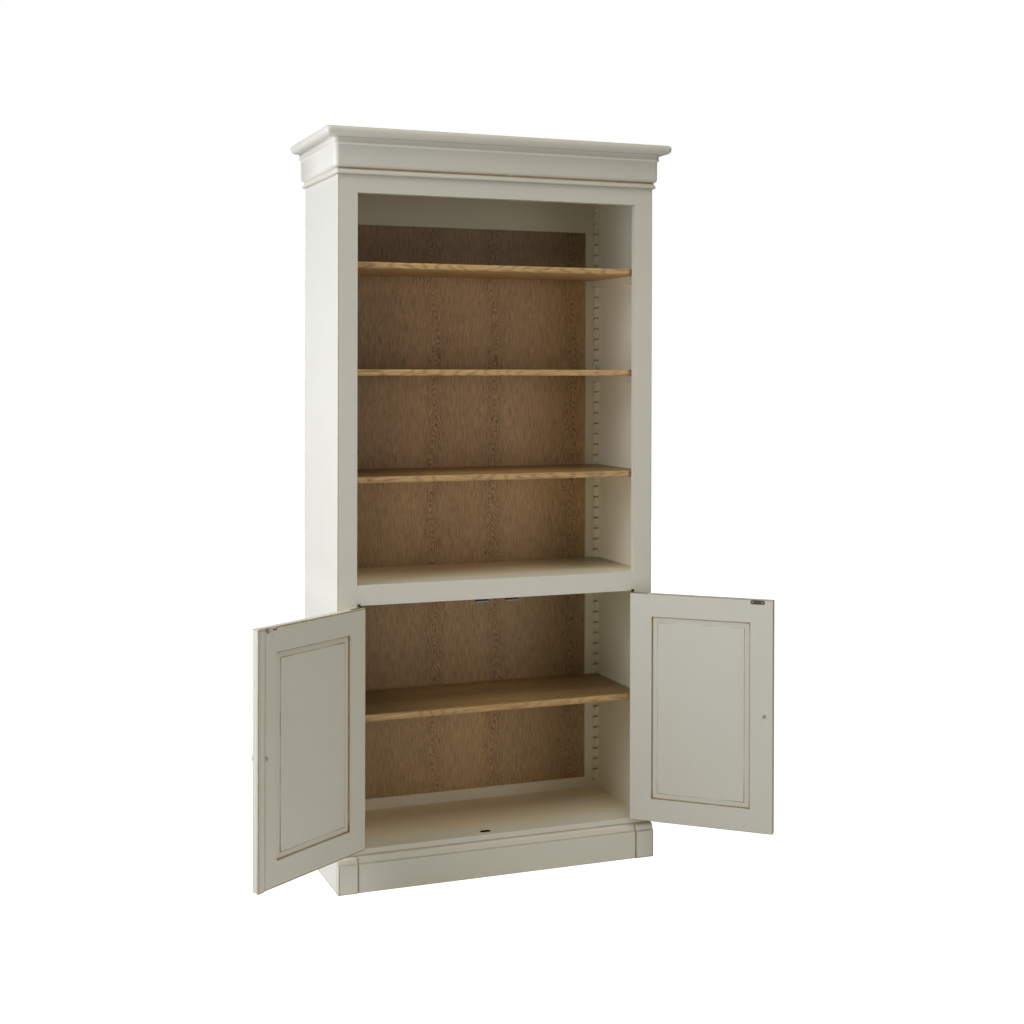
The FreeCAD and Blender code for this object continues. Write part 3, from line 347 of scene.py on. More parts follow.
def board_edges_group():
    """1 along the edges of a box, easing to 0 at a width on its faces."""
    s, given, out = shader_group("Board edges", {
        "Place": "Vector",
        "Centre": "Vector",
        "Half": "Vector",
        "Width": 0.0015,
    }, {"Edge": "Float"})
    from_centre = s.vector("ABSOLUTE", s.vector("SUBTRACT", given["Place"], given["Centre"]))
    x, y, z = s.split(s.vector("ABSOLUTE", s.vector("SUBTRACT", given["Half"], from_centre)))
    middle = s.minus(s.minus(s.plus(x, y, z), s.least(x, y, z)), s.most(x, y, z))
    s.feed(out["Edge"], s.fade(middle, s.times(given["Width"], 0.3), given["Width"]))
    return s.tree


def antique_paint_group():
    """Brushed off-white paint with brown glaze, and painted light inside in a colour of its own."""
    s, given, out = shader_group("Antique paint", {
        "Place": "Vector",
        "Glaze": 0,
        "Rub": 0,
        "Inside": 0,
        "Mottle": 0.05,
        "Tone": 1,
        "Paint colour": "Color",
        "Inside colour": "Color",
        "Glaze colour": "Color",
    }, SURFACE_OUTPUTS)
    place = given["Place"]
    patches = s.noise(place, 7, 3, 0.6)
    grime = s.noise(place, 34, 4, 0.65)
    strokes = s.streaks(place, (420, 420, 18), 2, 0.6)
    grit = s.noise(place, 900, 2, 0.5)
    colour = s.mix(given["Inside"], given["Paint colour"], given["Inside colour"])
    tone = s.times(s.minus(patches, 0.5), given["Mottle"])
    tone = s.swing(strokes, 0.035, tone)
    tone = s.swing(grit, 0.03, tone)
    paler, warmer = s.plus(tone, given["Tone"]), s.scaled(tone, 1.6, given["Tone"])
    colour = s.mix(1, colour, s.join(paler, paler, warmer), "MULTIPLY")
    uneven = s.ease(grime, 0.3, 0.64, 0.7, 1)
    film = s.math("MULTIPLY", s.most(given["Glaze"], given["Rub"]), uneven, clamp=True)
    colour = s.mix(film, colour, given["Glaze colour"])
    specks = s.ease(s.noise(place, 170, 1, 0.4), 0.775, 0.8)
    colour = s.mix(s.times(specks, 0.35), colour, given["Glaze colour"])
    s.feed(out["Colour"], colour)
    s.feed(out["Roughness"], s.plus(s.scaled(strokes, 0.1, 0.4), s.times(film, 0.2)))
    height = s.scaled(strokes, 0.7, s.times(grit, 0.3))
    s.feed(out["Height"], s.minus(height, s.times(film, 0.4)))
    return s.tree


def oak_grain_group():
    """Oak veneer with its grain along Z: fibres and pores, and curly flames round three hearts."""
    s, given, out = shader_group("Oak grain", {
        "Place": "Vector",
        "Hearts": "Vector",
        "Heart width": 0.05,
        "Ring width": 0.02,
        "Curl": 0.05,
        "Figure": 1,
        "Light": "Color",
        "Dark": "Color",
    }, SURFACE_OUTPUTS)
    place = given["Place"]
    x, _, z = s.split(place)
    swayed = s.swing(s.streaks(place, (1.2, 1.2, 3.2), 1), 0.07, x)
    aside = s.least(*(s.absolute(s.minus(swayed, heart)) for heart in s.split(given["Hearts"])))
    curls = s.node("ShaderNodeTexNoise", {
        "Vector": s.vector("MULTIPLY", place, (34, 34, 20)), "Scale": 1, "Detail": 1.5}).outputs["Color"]
    across, along, _ = s.split(s.vector("SUBTRACT", curls, (0.5, 0.5, 0.5)))
    legs = s.absolute(s.scaled(across, s.times(given["Curl"], 0.7), aside))
    legs = s.math("SQRT", s.scaled(legs, legs, 0.00001))
    climb = s.scaled(along, given["Curl"], z)
    rings = s.math("FRACT", s.math("DIVIDE", s.scaled(legs, 2.4, climb), given["Ring width"]))
    late = s.times(s.ease(rings, 0.4, 0.62), s.fade(rings, 0.68, 0.95))
    heart = s.fade(aside, s.times(given["Heart width"], 0.15), given["Heart width"])
    late = s.times(late, heart, given["Figure"])
    streak = s.streaks(place, (300, 300, 26), 3, 0.65)
    fibre = s.streaks(place, (640, 640, 45), 3, 0.6)
    pores = s.ease(s.streaks(place, (1500, 1500, 70), 1), 0.56, 0.7)
    clouds = s.streaks(place, (6, 6, 1.4), 3)
    share = s.swing(streak, 1.5, 0.27)
    share = s.swing(fibre, 0.8, share)
    share = s.swing(clouds, 0.45, share)
    share = s.math("ADD", s.scaled(pores, 0.2, share), late, clamp=True)
    s.feed(out["Colour"], s.mix(share, given["Light"], given["Dark"]))
    s.feed(out["Roughness"], s.scaled(share, 0.18, 0.42))
    s.feed(out["Height"], s.minus(s.times(fibre, 0.5), pores))
    return s.tree


def aged_metal_group():
    """Metal with a dark film, fine scratches and a rough patina."""
    s, given, out = shader_group("Aged metal", {
        "Place": "Vector",
        "Patina": 0.5,
        "Metal colour": "Color",
        "Patina colour": "Color",
    }, {**SURFACE_OUTPUTS, "Metallic": "Float"})
    place = given["Place"]
    cloud = s.noise(place, 160, 4, 0.65)
    scratch = s.streaks(place, (2600, 300, 90), 2)
    edge = s.minus(1, given["Patina"])
    film = s.ease(cloud, s.minus(edge, 0.25), s.plus(edge, 0.12))
    s.feed(out["Colour"], s.mix(film, given["Metal colour"], given["Patina colour"]))
    s.feed(out["Roughness"], s.plus(s.scaled(film, 0.3, 0.24), s.times(scratch, 0.12)))
    s.feed(out["Metallic"], s.scaled(film, -0.5, 1))
    s.feed(out["Height"], s.scaled(scratch, 0.6, s.times(cloud, 0.4)))
    return s.tree


GROUP_MAKERS = {
    "Glaze outline": glaze_outline_group,
    "Board edges": board_edges_group,
    "Antique paint": antique_paint_group,
    "Oak grain": oak_grain_group,
    "Aged metal": aged_metal_group,
}


def new_material(name):
    """An empty material, its shading and the coordinates of its piece."""
    material = bpy.data.materials.new(name)
    material.use_nodes = True
    material.node_tree.nodes.clear()
    s = Shading(material.node_tree)
    return material, s, s.node("ShaderNodeTexCoord").outputs["Object"]


def surface(s, found, relief, **settings):
    """The Principled BSDF of a material, fed by a group's outputs, with relief in metres."""
    shader = s.node("ShaderNodeBsdfPrincipled")
    for name, socket in (("Colour", "Base Color"), ("Roughness", "Roughness"), ("Metallic", "Metallic")):
        if name in found:
            s.feed(shader.inputs[socket], found[name])
    bump = s.node("ShaderNodeBump", {"Height": found["Height"], "Distance": relief, "Strength": 0.6})
    s.feed(shader.inputs["Normal"], bump.outputs[0])
    for name, value in settings.items():
        s.feed(shader.inputs[name.replace("_", " ").title()], value)
    s.node("ShaderNodeOutputMaterial", {"Surface": shader.outputs[0]})


def paint_surface(s, place, glaze, rub, inside, settings, board_top_light=0, tone=1):
    # Painted light inside the case: the inside colour, and a warmer one on the lit tops of the boards.
    lit_inside_colour = s.mix(board_top_light, settings.inside, settings.floor)
    found = grouped(s, "Antique paint", {
        "Place": place, "Glaze": glaze, "Rub": rub, "Inside": inside, "Tone": tone,
        "Mottle": settings.mottle, "Paint colour": settings.paint, "Inside colour": lit_inside_colour,
        "Glaze colour": settings.glaze})
    surface(s, found, PAINT_RELIEF)


def finish_nodes(material, *names):
    """Gives CAD nodes a material."""
    for name in names:
        slots = NODES[name].data.materials
        slots.clear()
        slots.append(material)


def metal_material(name, colour, patina, settings):
    material, s, place = new_material(name)
    surface(s, aged_metal(s, place, colour, patina, settings.patina), METAL_RELIEF)
    return material


def door_paint(body):
    return f"{body.replace('_', ' ').capitalize()} paint"


def shutting_angle(hinge):
    """How far a door turns about Z from where it stands open to shut."""
    return math.radians(hinge["range_deg"][1]) * hinge["axis"][2]


def shut_place(s, place, body):
    """A door's own coordinates: the place turned back to the shut left door."""
    hinge = HINGES[body]
    turned_back = s.node("ShaderNodeVectorRotate", {
        "Vector": place, "Center": hinge["pos_m"], "Angle": shutting_angle(hinge)},
        rotation_type="Z_AXIS").outputs[0]
    return turned_back if body == "left_door" else s.vector("MULTIPLY", turned_back, (-1, 1, 1))


# Pieces

def new_piece(bm, name, material, body, slot, *replaced, at=Matrix.Identity(4)):
    """Turns a bmesh, put in its place, into a piece that rides on a body and may stand for CAD nodes."""
    bmesh.ops.transform(bm, matrix=at, verts=bm.verts)
    bmesh.ops.remove_doubles(bm, verts=bm.verts, dist=0.005 * MM)
    bmesh.ops.recalc_face_normals(bm, faces=bm.faces)
    mesh = bpy.data.meshes.new(name)
    bm.to_mesh(mesh)
    bm.free()
    mesh.shade_smooth()
    mesh.set_sharp_from_angle(angle=math.radians(32))
    mesh.materials.append(material)
    piece = bpy.data.objects.new(name, mesh)
    bpy.context.scene.collection.objects.link(piece)
    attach(piece, body)
    if replaced:
        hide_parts(*replaced)


def cut(bm, place, normal, **options):
    """Cuts a bmesh along a plane and returns what lies in the plane."""
    geometry = [*bm.verts, *bm.edges, *bm.faces]
    return bmesh.ops.bisect_plane(bm, geom=geometry, plane_co=place, plane_no=normal, **options)["geom_cut"]


def only(kind, items):
    """The vertices, edges or faces among the items of a bmesh."""
    return [item for item in items if isinstance(item, kind)]


def door_matrix(body):
    """Takes places on the shut left door to the same places on a door as it stands open."""
    hinge = HINGES[body]
    pin = Matrix.Translation(hinge["pos_m"])
    side = Matrix.Identity(4) if body == "left_door" else Matrix.Scale(-1, 4, (1, 0, 0))
    return pin @ Matrix.Rotation(-shutting_angle(hinge), 4, "Z") @ pin.inverted() @ side


def turned(profile, segments):
    """A closed turned shape: a profile of (radius, height) in mm from pole to pole, spun about Z."""
    bm = bmesh.new()
    verts = [bm.verts.new((radius * MM, 0, height * MM)) for radius, height in profile]
    edges = [bm.edges.new(pair) for pair in zip(verts, verts[1:])]
    bmesh.ops.spin(bm, geom=verts + edges, cent=(0, 0, 0), axis=(0, 0, 1), angle=math.tau,
                   steps=segments, use_merge=True, use_duplicate=False)
    bmesh.ops.remove_doubles(bm, verts=bm.verts, dist=0.002 * MM)
    return bm


# Operators

CASE_NODES = (
    "top_rail", "mid_rail", "bottom_rail", "back_top_rail", "back_bottom_rail", "ceiling_panel",
    "divider_board", "cupboard_floor", "cornice_board", "frieze_front", "neck_bead_front", "plinth_board",
    *(f"{part}_{side}" for part in (
        "side_panel", "front_stile", "back_stile", "frieze", "neck_bead", "plinth_block")
      for side in ("left", "right")),
    *(f"shelf_cleats_{number}" for number in (1, 2, 3, 4)))
RACK_NODES = ("upper_racks_left", "upper_racks_right", "lower_racks_left", "lower_racks_right")

# Grooves in the mouldings: height, width of the glaze and its strength.
MOULDING_GROOVES = (
    (CORNICE_UNDERSIDE - 0.0005, 0.0022, 0.55),
    (FRIEZE_UNDERSIDE + 0.001, 0.005, 1),
    (BEAD_UNDERSIDE - 0.0002, 0.0022, 0.65),
    (PLINTH_GROOVE, 0.0026, 0.65),
    (PLINTH_TOP + 0.0003, 0.0034, 0.85),
)


def case_light_and_shade(s, place, side, inside, lit_board_tops):
    """Painted light and shade on the case, outside and inside, as a factor on the paint."""
    x, y, z = s.split(place)
    # Painted light: lighter to the right below the top, and on the mid rail; painted shade towards the top.
    right_painted_light = s.times(s.ease(x, -0.42, 0.1, 0, 0.09), s.ease(z, 1.7, 2, 1, 0.3))
    rail_painted_light = s.times(s.near(z, MID_RAIL_UNDERSIDE + 0.03, 0.08), 0.05)
    outside = s.times(s.ease(z, 1.3, 2.12, 1, 0.91), s.plus(right_painted_light, 1, rail_painted_light))
    # Painted highlight along the frieze lip, fainter on the sides.
    lip_highlight = s.times(s.near(z, FRIEZE_LIP, 0.004), s.ease(side, CASE_SIDE, CASE_SIDE + 0.02, 1, 0.2))
    outside = s.scaled(lip_highlight, 0.28, outside)
    # On the frieze returns: painted light below the lip, painted shade above it, less on the cornice board.
    on_return = s.times(s.ease(z, FRIEZE_UNDERSIDE, FRIEZE_UNDERSIDE + 0.002),
                        s.ease(side, CASE_SIDE, CASE_SIDE + 0.002), s.ease(y, -0.01, 0.2, 0.3))
    return_painted_light = s.plus(s.ease(z, FRIEZE_LIP - 0.0025, FRIEZE_LIP + 0.0015, 0.24, -0.14),
                         s.ease(z, CORNICE_UNDERSIDE - 0.0005, CORNICE_UNDERSIDE + 0.0005, 0, 0.08))
    outside = s.scaled(on_return, return_painted_light, outside)
    # Inside: painted light up high and on the cupboard floor; painted shade at the back up high, in the far
    # right corner and over the rest of the bookcase floor, low down and at the top.
    upper = s.ease(z, 0.84, 0.88)
    back_shade = s.times(upper, s.ease(y, BACK_FACE - 0.003, BACK_FACE - 0.001))
    far_corner_shade = s.times(lit_board_tops[0], s.ease(x, 0.1, 0.4), s.ease(y, 0.03, 0.25))
    changes = ((upper, 0.12), (back_shade, -0.16), (far_corner_shade, -0.46), (lit_board_tops[0], -0.08),
               (lit_board_tops[1], 0.12))
    within = s.times(s.ease(z, 0.45, 0.65, 0.94), s.ease(z, 1.8, 2.05, 1, 0.84),
                     *(s.scaled(share, change, 1) for share, change in changes))
    return s.plus(s.times(outside, s.minus(1, inside)), s.times(within, inside))


def groove_glaze(s, side, y, z):
    """Glaze in the mouldings, thinned by painted light along the sides, with painted shadow along the
    bottom.
    """
    # Painted light: the glaze fades along the brightly lit sides.
    lit_side_fade = s.ease(y, -0.01, 0.02, 1, 0.25)
    grooves = [s.times(s.near(z, height, width), strength, lit_side_fade)
               for height, width, strength in MOULDING_GROOVES]
    below_groove = s.fade(z, PLINTH_TOP, PLINTH_TOP + 0.001)
    block = s.near(side, BLOCK_INNER_SIDE, 0.0034)
    # Painted shadow along the bottom edge, where the case meets the floor.
    foot_shadow = s.times(s.near(z, 0, 0.004), 0.8)
    return s.most(*grooves, foot_shadow, s.times(block, below_groove, 0.8))


def notch_shadow(s, y, z):
    """Painted shadow in the notches of the racks, at each of their ledges."""
    depth = s.most(s.minus(y, REAR_RACK_FACE), s.minus(FRONT_RACK_FACE, y))
    upper = s.math("GREATER_THAN", z, BOOKCASE_FLOOR)
    first = s.scaled(upper, UPPER_LEDGE - LOWER_LEDGE, LOWER_LEDGE)
    steps = s.math("DIVIDE", s.plus(s.minus(z, first), 0.002), RACK_PITCH)
    rise = s.times(s.math("FRACT", steps), RACK_PITCH)
    ledge = s.times(s.ease(rise, 0, 0.001), s.fade(rise, 0.004, 0.009), 0.9)
    return s.times(s.ease(depth, 0.0004, 0.0015), ledge)


def block_edges(s, side, y, z, width):
    """Rubbed edges of the plinth blocks."""
    low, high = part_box("plinth_block_right")
    return s.times(board_edges(s, s.join(side, y, z), low, high, width * 1.5),
                   s.ease(side, low.x - 0.0002, low.x), s.fade(z, high.z, high.z + 0.001), 0.85)


class BOOKCASE_OT_paint_case(bpy.types.Operator):
    """Paints the case and its mouldings, with glaze in the grooves"""
    bl_idname = "bookcase.paint_case"
    bl_label = "Paint the case"

    def execute(self, context):
        settings = context.scene.bookcase_paint
        finish_nodes(self.material("Carcass paint", settings), *CASE_NODES)
        finish_nodes(self.material("Rack paint", settings), *RACK_NODES)
        self.material("Cornice board paint", settings)
        return {"FINISHED"}

    def material(self, name, settings):
        """Carcass paint. On racks painted shadow lies in the notches, and the cornice board has no grooves
        and a little painted light.
        """
        material, s, place = new_material(name)
        x, y, z = s.split(place)
        side = s.absolute(x)
        front = s.fade(y, 0.0008, 0.003)
        # Inside the case the paint takes the inside colour, which is painted light.
        inside = s.times(s.fade(side, WALL_MIDDLE - 0.0005, WALL_MIDDLE + 0.0005),
                         s.ease(y, 0.0215, 0.16),
                         s.fade(y, BACK_FACE + 0.006, BACK_FACE + 0.008),
                         s.fade(z, CEILING_MIDDLE - 0.001, CEILING_MIDDLE + 0.001))
        glaze = 0
        if name == "Carcass paint":
            glaze = groove_glaze(s, side, y, z)
        # Racks: painted shadow in the notches.
        elif name == "Rack paint":
            glaze = notch_shadow(s, y, z)
        rims = [grouped(s, "Glaze outline", {
            **box_feeds(place, (-OPENING_SIDE, 0, low), (OPENING_SIDE, 0, high)),
            "Inner width": settings.rub, "Outer width": 0.001})["Line"] for low, high in OPENINGS]
        joint = s.times(s.near(side, OPENING_SIDE, 0.0009), s.ease(z, PLINTH_TOP, CUPBOARD_FLOOR))
        corner = board_edges(s, place, (-CASE_SIDE, 0, -2), (CASE_SIDE, CASE_REAR, 4), settings.rub)
        on_stile = s.times(s.ease(z, PLINTH_TOP, PLINTH_TOP + 0.001),
                           s.fade(z, BEAD_UNDERSIDE - 0.001, BEAD_UNDERSIDE))
        above_boards = s.least(*(s.ease(s.absolute(s.minus(z, level)), 0.003, 0.007, 0.2)
                                 for level in FLOORS))
        rub = s.most(s.times(s.most(*rims), front, above_boards), s.times(corner, on_stile),
                     s.times(joint, front, on_stile, 0.1), block_edges(s, side, y, z, settings.rub))
        # Painted light on the tops of the boards.
        lit_board_tops = [s.near(z, level, 0.004) for level in FLOORS]
        tone = case_light_and_shade(s, place, side, inside, lit_board_tops)
        # Painted light: the cornice board a little lighter.
        if name == "Cornice board paint":
            tone = s.times(tone, 1.06)
        paint_surface(s, place, glaze, rub, inside, settings, s.most(*lit_board_tops), tone)
        return material


# For each door the least and the most glaze round its raised field, and how rubbed its edges are.
DOORS = {"left_door": (0.35, 0.75, 0.9), "right_door": (0, 0.32, 0.7)}
SPECK_PLACE = (-0.0535, 0, 0.7945)


class BOOKCASE_OT_paint_doors(bpy.types.Operator):
    """Paints both doors, with glaze round the panels and along the edges"""
    bl_idname = "bookcase.paint_doors"
    bl_label = "Paint the doors"

    def execute(self, context):
        settings = context.scene.bookcase_paint
        for body, (least, most, rubbed) in DOORS.items():
            material, s, place = new_material(door_paint(body))
            shut = shut_place(s, place, body)
            x, y, _ = s.split(shut)
            recess = grouped(s, "Glaze outline", {
                **box_feeds(shut, DOOR_LOW + PANEL_INSET, DOOR_HIGH - PANEL_INSET),
                "Inner width": settings.line, "Outer width": 0.0028})
            step = grouped(s, "Glaze outline", {
                **box_feeds(shut, DOOR_LOW + FIELD_INSET, DOOR_HIGH - FIELD_INSET),
                "Inner width": 0.002, "Outer width": 0.0034, "Corner reach": 0.07})
            patchy = s.ease(s.noise(place, 11, 3), 0.38, 0.62, least, most)
            glaze = s.most(s.times(recess["Line"], s.scaled(recess["Corner"], 0.25, 0.72)),
                           s.times(step["Line"], s.scaled(step["Corner"], 0.45, patchy)))
            edge = board_edges(s, shut, DOOR_LOW, DOOR_HIGH, settings.rub)
            if body == "left_door":
                inner = s.ease(y, 0.0222, 0.0228)
                seam = s.near(x, BATTEN_LOW[0], 0.0065)
                speck = s.distance(s.vector("MULTIPLY", shut, (1, 0, 1)), SPECK_PLACE)
                speck = s.ease(speck, 0.0012, 0.003, 0.7, 0)
                glaze = s.most(glaze, s.times(seam, inner), s.times(speck, inner))
                edge = s.most(edge, board_edges(s, shut, BATTEN_LOW, BATTEN_HIGH, settings.rub))
            # Painted shade on the leading edge of each door.
            leading = s.ease(x, DOOR_HIGH.x - 0.0006, DOOR_HIGH.x - 0.0002, 1, 0.87)
            paint_surface(s, shut, glaze, s.times(edge, rubbed), 0, settings, tone=leading)
            nodes = [f"{body}_{part}" for part in
                     ("hinge_stile", "leading_stile", "top_rail", "bottom_rail", "panel")]
            if body == "left_door":
                nodes.append("left_door_closing_batten")
            finish_nodes(material, *nodes)
        return {"FINISHED"}


def cad_section(node):
    """The outline of a CAD node across its middle, as edges in the plane X = 0."""
    bm = bmesh.new()
    bm.from_mesh(NODES[node].data)
    bmesh.ops.remove_doubles(bm, verts=bm.verts, dist=TINY)
    kept = set(cut(bm, (0, 0, 0), (1, 0, 0)))
    bmesh.ops.delete(bm, geom=[vert for vert in bm.verts if vert not in kept], context="VERTS")
    bmesh.ops.delete(bm, geom=list(bm.faces), context="FACES_ONLY")
    bmesh.ops.dissolve_limit(bm, angle_limit=math.radians(0.5), verts=bm.verts, edges=bm.edges)
    return bm


def run_round(bm, inner, rear):
    """Runs an outline along the front, round a corner centred at inner, and back along the side."""
    turn = (CASE_SIDE - inner, inner, 0)

    def onward(found, shift):
        made = bmesh.ops.extrude_edge_only(bm, edges=only(BMEdge, found))["geom"]
        bmesh.ops.translate(bm, verts=only(BMVert, made), vec=shift)
        return only((BMVert, BMEdge), made)

    corner = onward(bm.edges, (turn[0], 0, 0))
    turned_end = bmesh.ops.spin(bm, geom=corner, cent=turn, axis=(0, 0, 1), angle=math.pi / 2, steps=10,
                                use_merge=False, use_duplicate=False)["geom_last"]
    onward(turned_end, (0, rear - turn[1], 0))
    bmesh.ops.mirror(bm, geom=[*bm.verts, *bm.edges, *bm.faces], axis="X", merge_dist=TINY)


def close_plane(bm, axis, level):
    """Closes the opening of a shell in a plane, with the straight edge that it may lack."""
    edges = [edge for edge in bm.edges
             if edge.is_boundary and all(abs(v.co[axis] - level) < TINY for v in edge.verts)]
    ends = [vert for vert in {v for edge in edges for v in edge.verts}
            if sum(edge in edges for edge in vert.link_edges) == 1]
    ends.sort(key=lambda vert: vert.co.z)
    for first, last in zip(ends[::2], ends[1::2]):
        edges.append(bm.edges.new((first, last)))
    bmesh.ops.contextual_create(bm, geom=edges)


class BOOKCASE_OT_round_cornice(bpy.types.Operator):
    """Runs the cornice board, frieze and neck bead round the case with softened corners"""
    bl_idname = "bookcase.round_cornice"
    bl_label = "Round the cornice"

    def execute(self, context):
        paint = bpy.data.materials["Carcass paint"]
        softening = context.scene.bookcase_paint.board_corner
        for name, nodes in (
                ("Frieze", ("frieze_front", "frieze_left", "frieze_right")),
                ("Neck_bead", ("neck_bead_front", "neck_bead_left", "neck_bead_right"))):
            bm = cad_section(nodes[0])
            run_round(bm, 0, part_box(nodes[1])[1].y - TINY)
            bmesh.ops.holes_fill(bm, edges=[e for e in bm.edges if e.is_boundary], sides=0)
            new_piece(bm, name, paint, "carcass", "painted_wood", *nodes)
        low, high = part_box("cornice_board")
        bm = cad_section("cornice_board")
        inner, rear = low.y + softening, high.y - TINY
        cut(bm, (0, inner, 0), (0, 1, 0), clear_outer=True)
        run_round(bm, inner, rear)
        for axis, level in ((2, high.z), (2, low.z), (1, rear)):
            close_plane(bm, axis, level)
        paint = bpy.data.materials["Cornice board paint"]
        new_piece(bm, "Cornice_board", paint, "carcass", "painted_wood", "cornice_board")
        return {"FINISHED"}


BACK_HEARTS = (-0.092, 0.112, 0.386)
SHELF_HEARTS = (0.02, 0.16, 0.31)


def back_light_and_shade(s, place, strength):
    """Painted light and shade on the back panel: lightest in the middle, with painted shade at its top,
    most on the left, at its right and low down, and painted light around the third bay.
    """
    x, _, z = s.split(place)
    across = s.ease(x, -0.42, -0.08)
    below_top = s.ease(z, 1.76, 1.9, 1, -0.35)
    low = s.fade(z, 0.8, 1.15)
    right = s.ease(x, 0.05, 0.42)
    top_left = s.times(s.ease(z, 1.76, 1.9), s.minus(1, across))
    third_bay = s.times(s.near(z, 1.3, 0.22), across)
    share = s.minus(s.times(across, below_top, s.scaled(low, -0.32, 1)),
                    s.times(right, s.scaled(low, 0.42, 0.26)))
    for mask, change in ((low, -0.22), (top_left, -0.35), (third_bay, 0.16)):
        share = s.scaled(mask, change, share)
    return s.scaled(share, strength, 1)


def oak_surface(s, place, hearts, figure, light, dark, settings, tone):
    found = grouped(s, "Oak grain", {
        "Place": place, "Hearts": hearts, "Ring width": settings.ring, "Figure": figure,
        "Light": light, "Dark": dark})
    found["Colour"] = s.mix(1, found["Colour"], s.join(tone, tone, tone), "MULTIPLY")
    surface(s, found, OAK_RELIEF, coat_weight=0.15, coat_roughness=0.35)


class BOOKCASE_OT_finish_oak(bpy.types.Operator):
    """Stains the shelves and the back panel"""
    bl_idname = "bookcase.finish_oak"
    bl_label = "Finish the oak"

    def execute(self, context):
        settings = context.scene.bookcase_oak
        material, s, place = new_material("Back oak")
        oak_surface(s, place, BACK_HEARTS, 0.42, settings.back_light, settings.back_dark, settings,
                    back_light_and_shade(s, place, settings.back_painted_light))
        finish_nodes(material, "oak_back_panel")
        for number in (1, 2, 3, 4):
            material, s, place = new_material(f"Shelf oak {number}")
            low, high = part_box(f"shelf_{number}")
            x, y, z = s.split(s.vector("SUBTRACT", place, low))
            along = s.join(s.plus(y, number), z, s.scaled(x, 0.3, 0.8 * number))
            thickness, across = high.z - low.z, s.split(place)[0]
            # Painted shade on the flat tops, deeper towards the ends and most at the left end.
            shaded_top = s.times(s.ease(z, thickness - 0.004, thickness - 0.0004), s.ease(y, 0.003, 0.02))
            ends = s.times(s.ease(s.absolute(across), 0.1, 0.42, 1.12, 0.74),
                           s.ease(across, -0.42, -0.1, 0.68))
            tone = s.scaled(shaded_top, s.scaled(ends, settings.shelf_top_shade, -1), 1)
            hearts = [number + depth for depth in SHELF_HEARTS]
            oak_surface(s, along, hearts, 0.4, settings.shelf_light, settings.shelf_dark, settings, tone)
            finish_nodes(material, f"shelf_{number}")
        return {"FINISHED"}


def finish_hinges(settings, paint):
    """Brass with bright washers, dark leaves above, and leaves painted over in the floor."""
    material, s, place = new_material("Hinge brass")
    z = s.split(place)[2]
    washer = s.near(z, MID_RAIL_UNDERSIDE - 0.0015, 0.0022)
    painted = s.fade(z, CUPBOARD_FLOOR + 0.0018, CUPBOARD_FLOOR + 0.0022)
    found = aged_metal(s, place, settings.brass, s.scaled(washer, -0.75, 0.85), settings.patina)
    found["Colour"] = s.mix(painted, found["Colour"], paint.floor)
    found["Metallic"] = s.times(found["Metallic"], s.minus(1, painted))
    surface(s, found, METAL_RELIEF)
    finish_nodes(material, "hinge_frame_leaves_left", "hinge_frame_leaves_right",
                 "left_door_hinge_leaves", "right_door_hinge_leaves")


def finish_catches(settings):
    """Dark moulded housings whose lower edges are rubbed pale."""
    material, s, place = new_material("Catch housing")
    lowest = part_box("magnetic_catches")[0].z
    found = aged_metal(s, place, settings.catch, 0.3, settings.keeper)
    rubbed = s.ease(s.split(place)[2], lowest + 0.0024, lowest + 0.0034, 0.65, 0)
    found["Colour"] = s.mix(rubbed, found["Colour"], settings.steel)
    del found["Metallic"]
    surface(s, found, METAL_RELIEF)
    finish_nodes(material, "magnetic_catches")


class BOOKCASE_OT_finish_metal(bpy.types.Operator):
    """Finishes the hinges, catches and floor keeper"""
    bl_idname = "bookcase.finish_metal"
    bl_label = "Finish the metal"

    def execute(self, context):
        settings = context.scene.bookcase_metal
        finish_hinges(settings, context.scene.bookcase_paint)
        finish_catches(settings)
        finish_nodes(metal_material("Keeper plastic", settings.keeper, 0.3, settings), "floor_keeper")
        return {"FINISHED"}


# Profiles of the turned pieces, in mm: radius and height.
KNOB_PROFILE = (
    (0, 12), (2.1, 12), (2.1, 0), (9.5, 0), (9.5, 0.9), (9.1, 1.6), (7.6, 2), (6.2, 2.7), (5.6, 4),
    (5.4, 6), (5.5, 8.4), (6.2, 10.4), (7.9, 11.9), (10, 13), (11.7, 14.5), (12.4, 16.4),
    (12.4, 18.2), (11.8, 20), (10.4, 21.5), (8, 22.5), (4.6, 22.9), (0, 23))
BOLT_PROFILE = (
    (0, -33), (2, -33), (2, 0), (6.2, 0), (6.2, 0.7), (5.9, 1.4), (5.1, 2.1), (3.8, 2.6), (2, 2.92), (0, 3))
SCREW_PROFILE = ((0, -0.6), (1.6, -0.6), (3.1, 0), (3.1, 0.1), (2.5, 0.26), (1.4, 0.36), (0, 0.4))

# Reach, width and depth of the crosses in the heads of the bolts and screws.
BOLT_CROSS = (3.4 * MM, 1.1 * MM, 1.3 * MM)
SCREW_CROSS = (1.9 * MM, 0.7 * MM, 0.5 * MM)

# Places on the shut left door, and sizes, in metres.
KNOB_PLACE = (-0.0283, 0, 0.472)
STRIKE_PLACE = (-0.048, 0.023, 0.8108)
STRIKE_SIZE = (0.043, 0.0126, 0.0012)
STRIKE_SCREW = 0.0148
STRIKE_HOLES = (-0.0566, -0.0649)


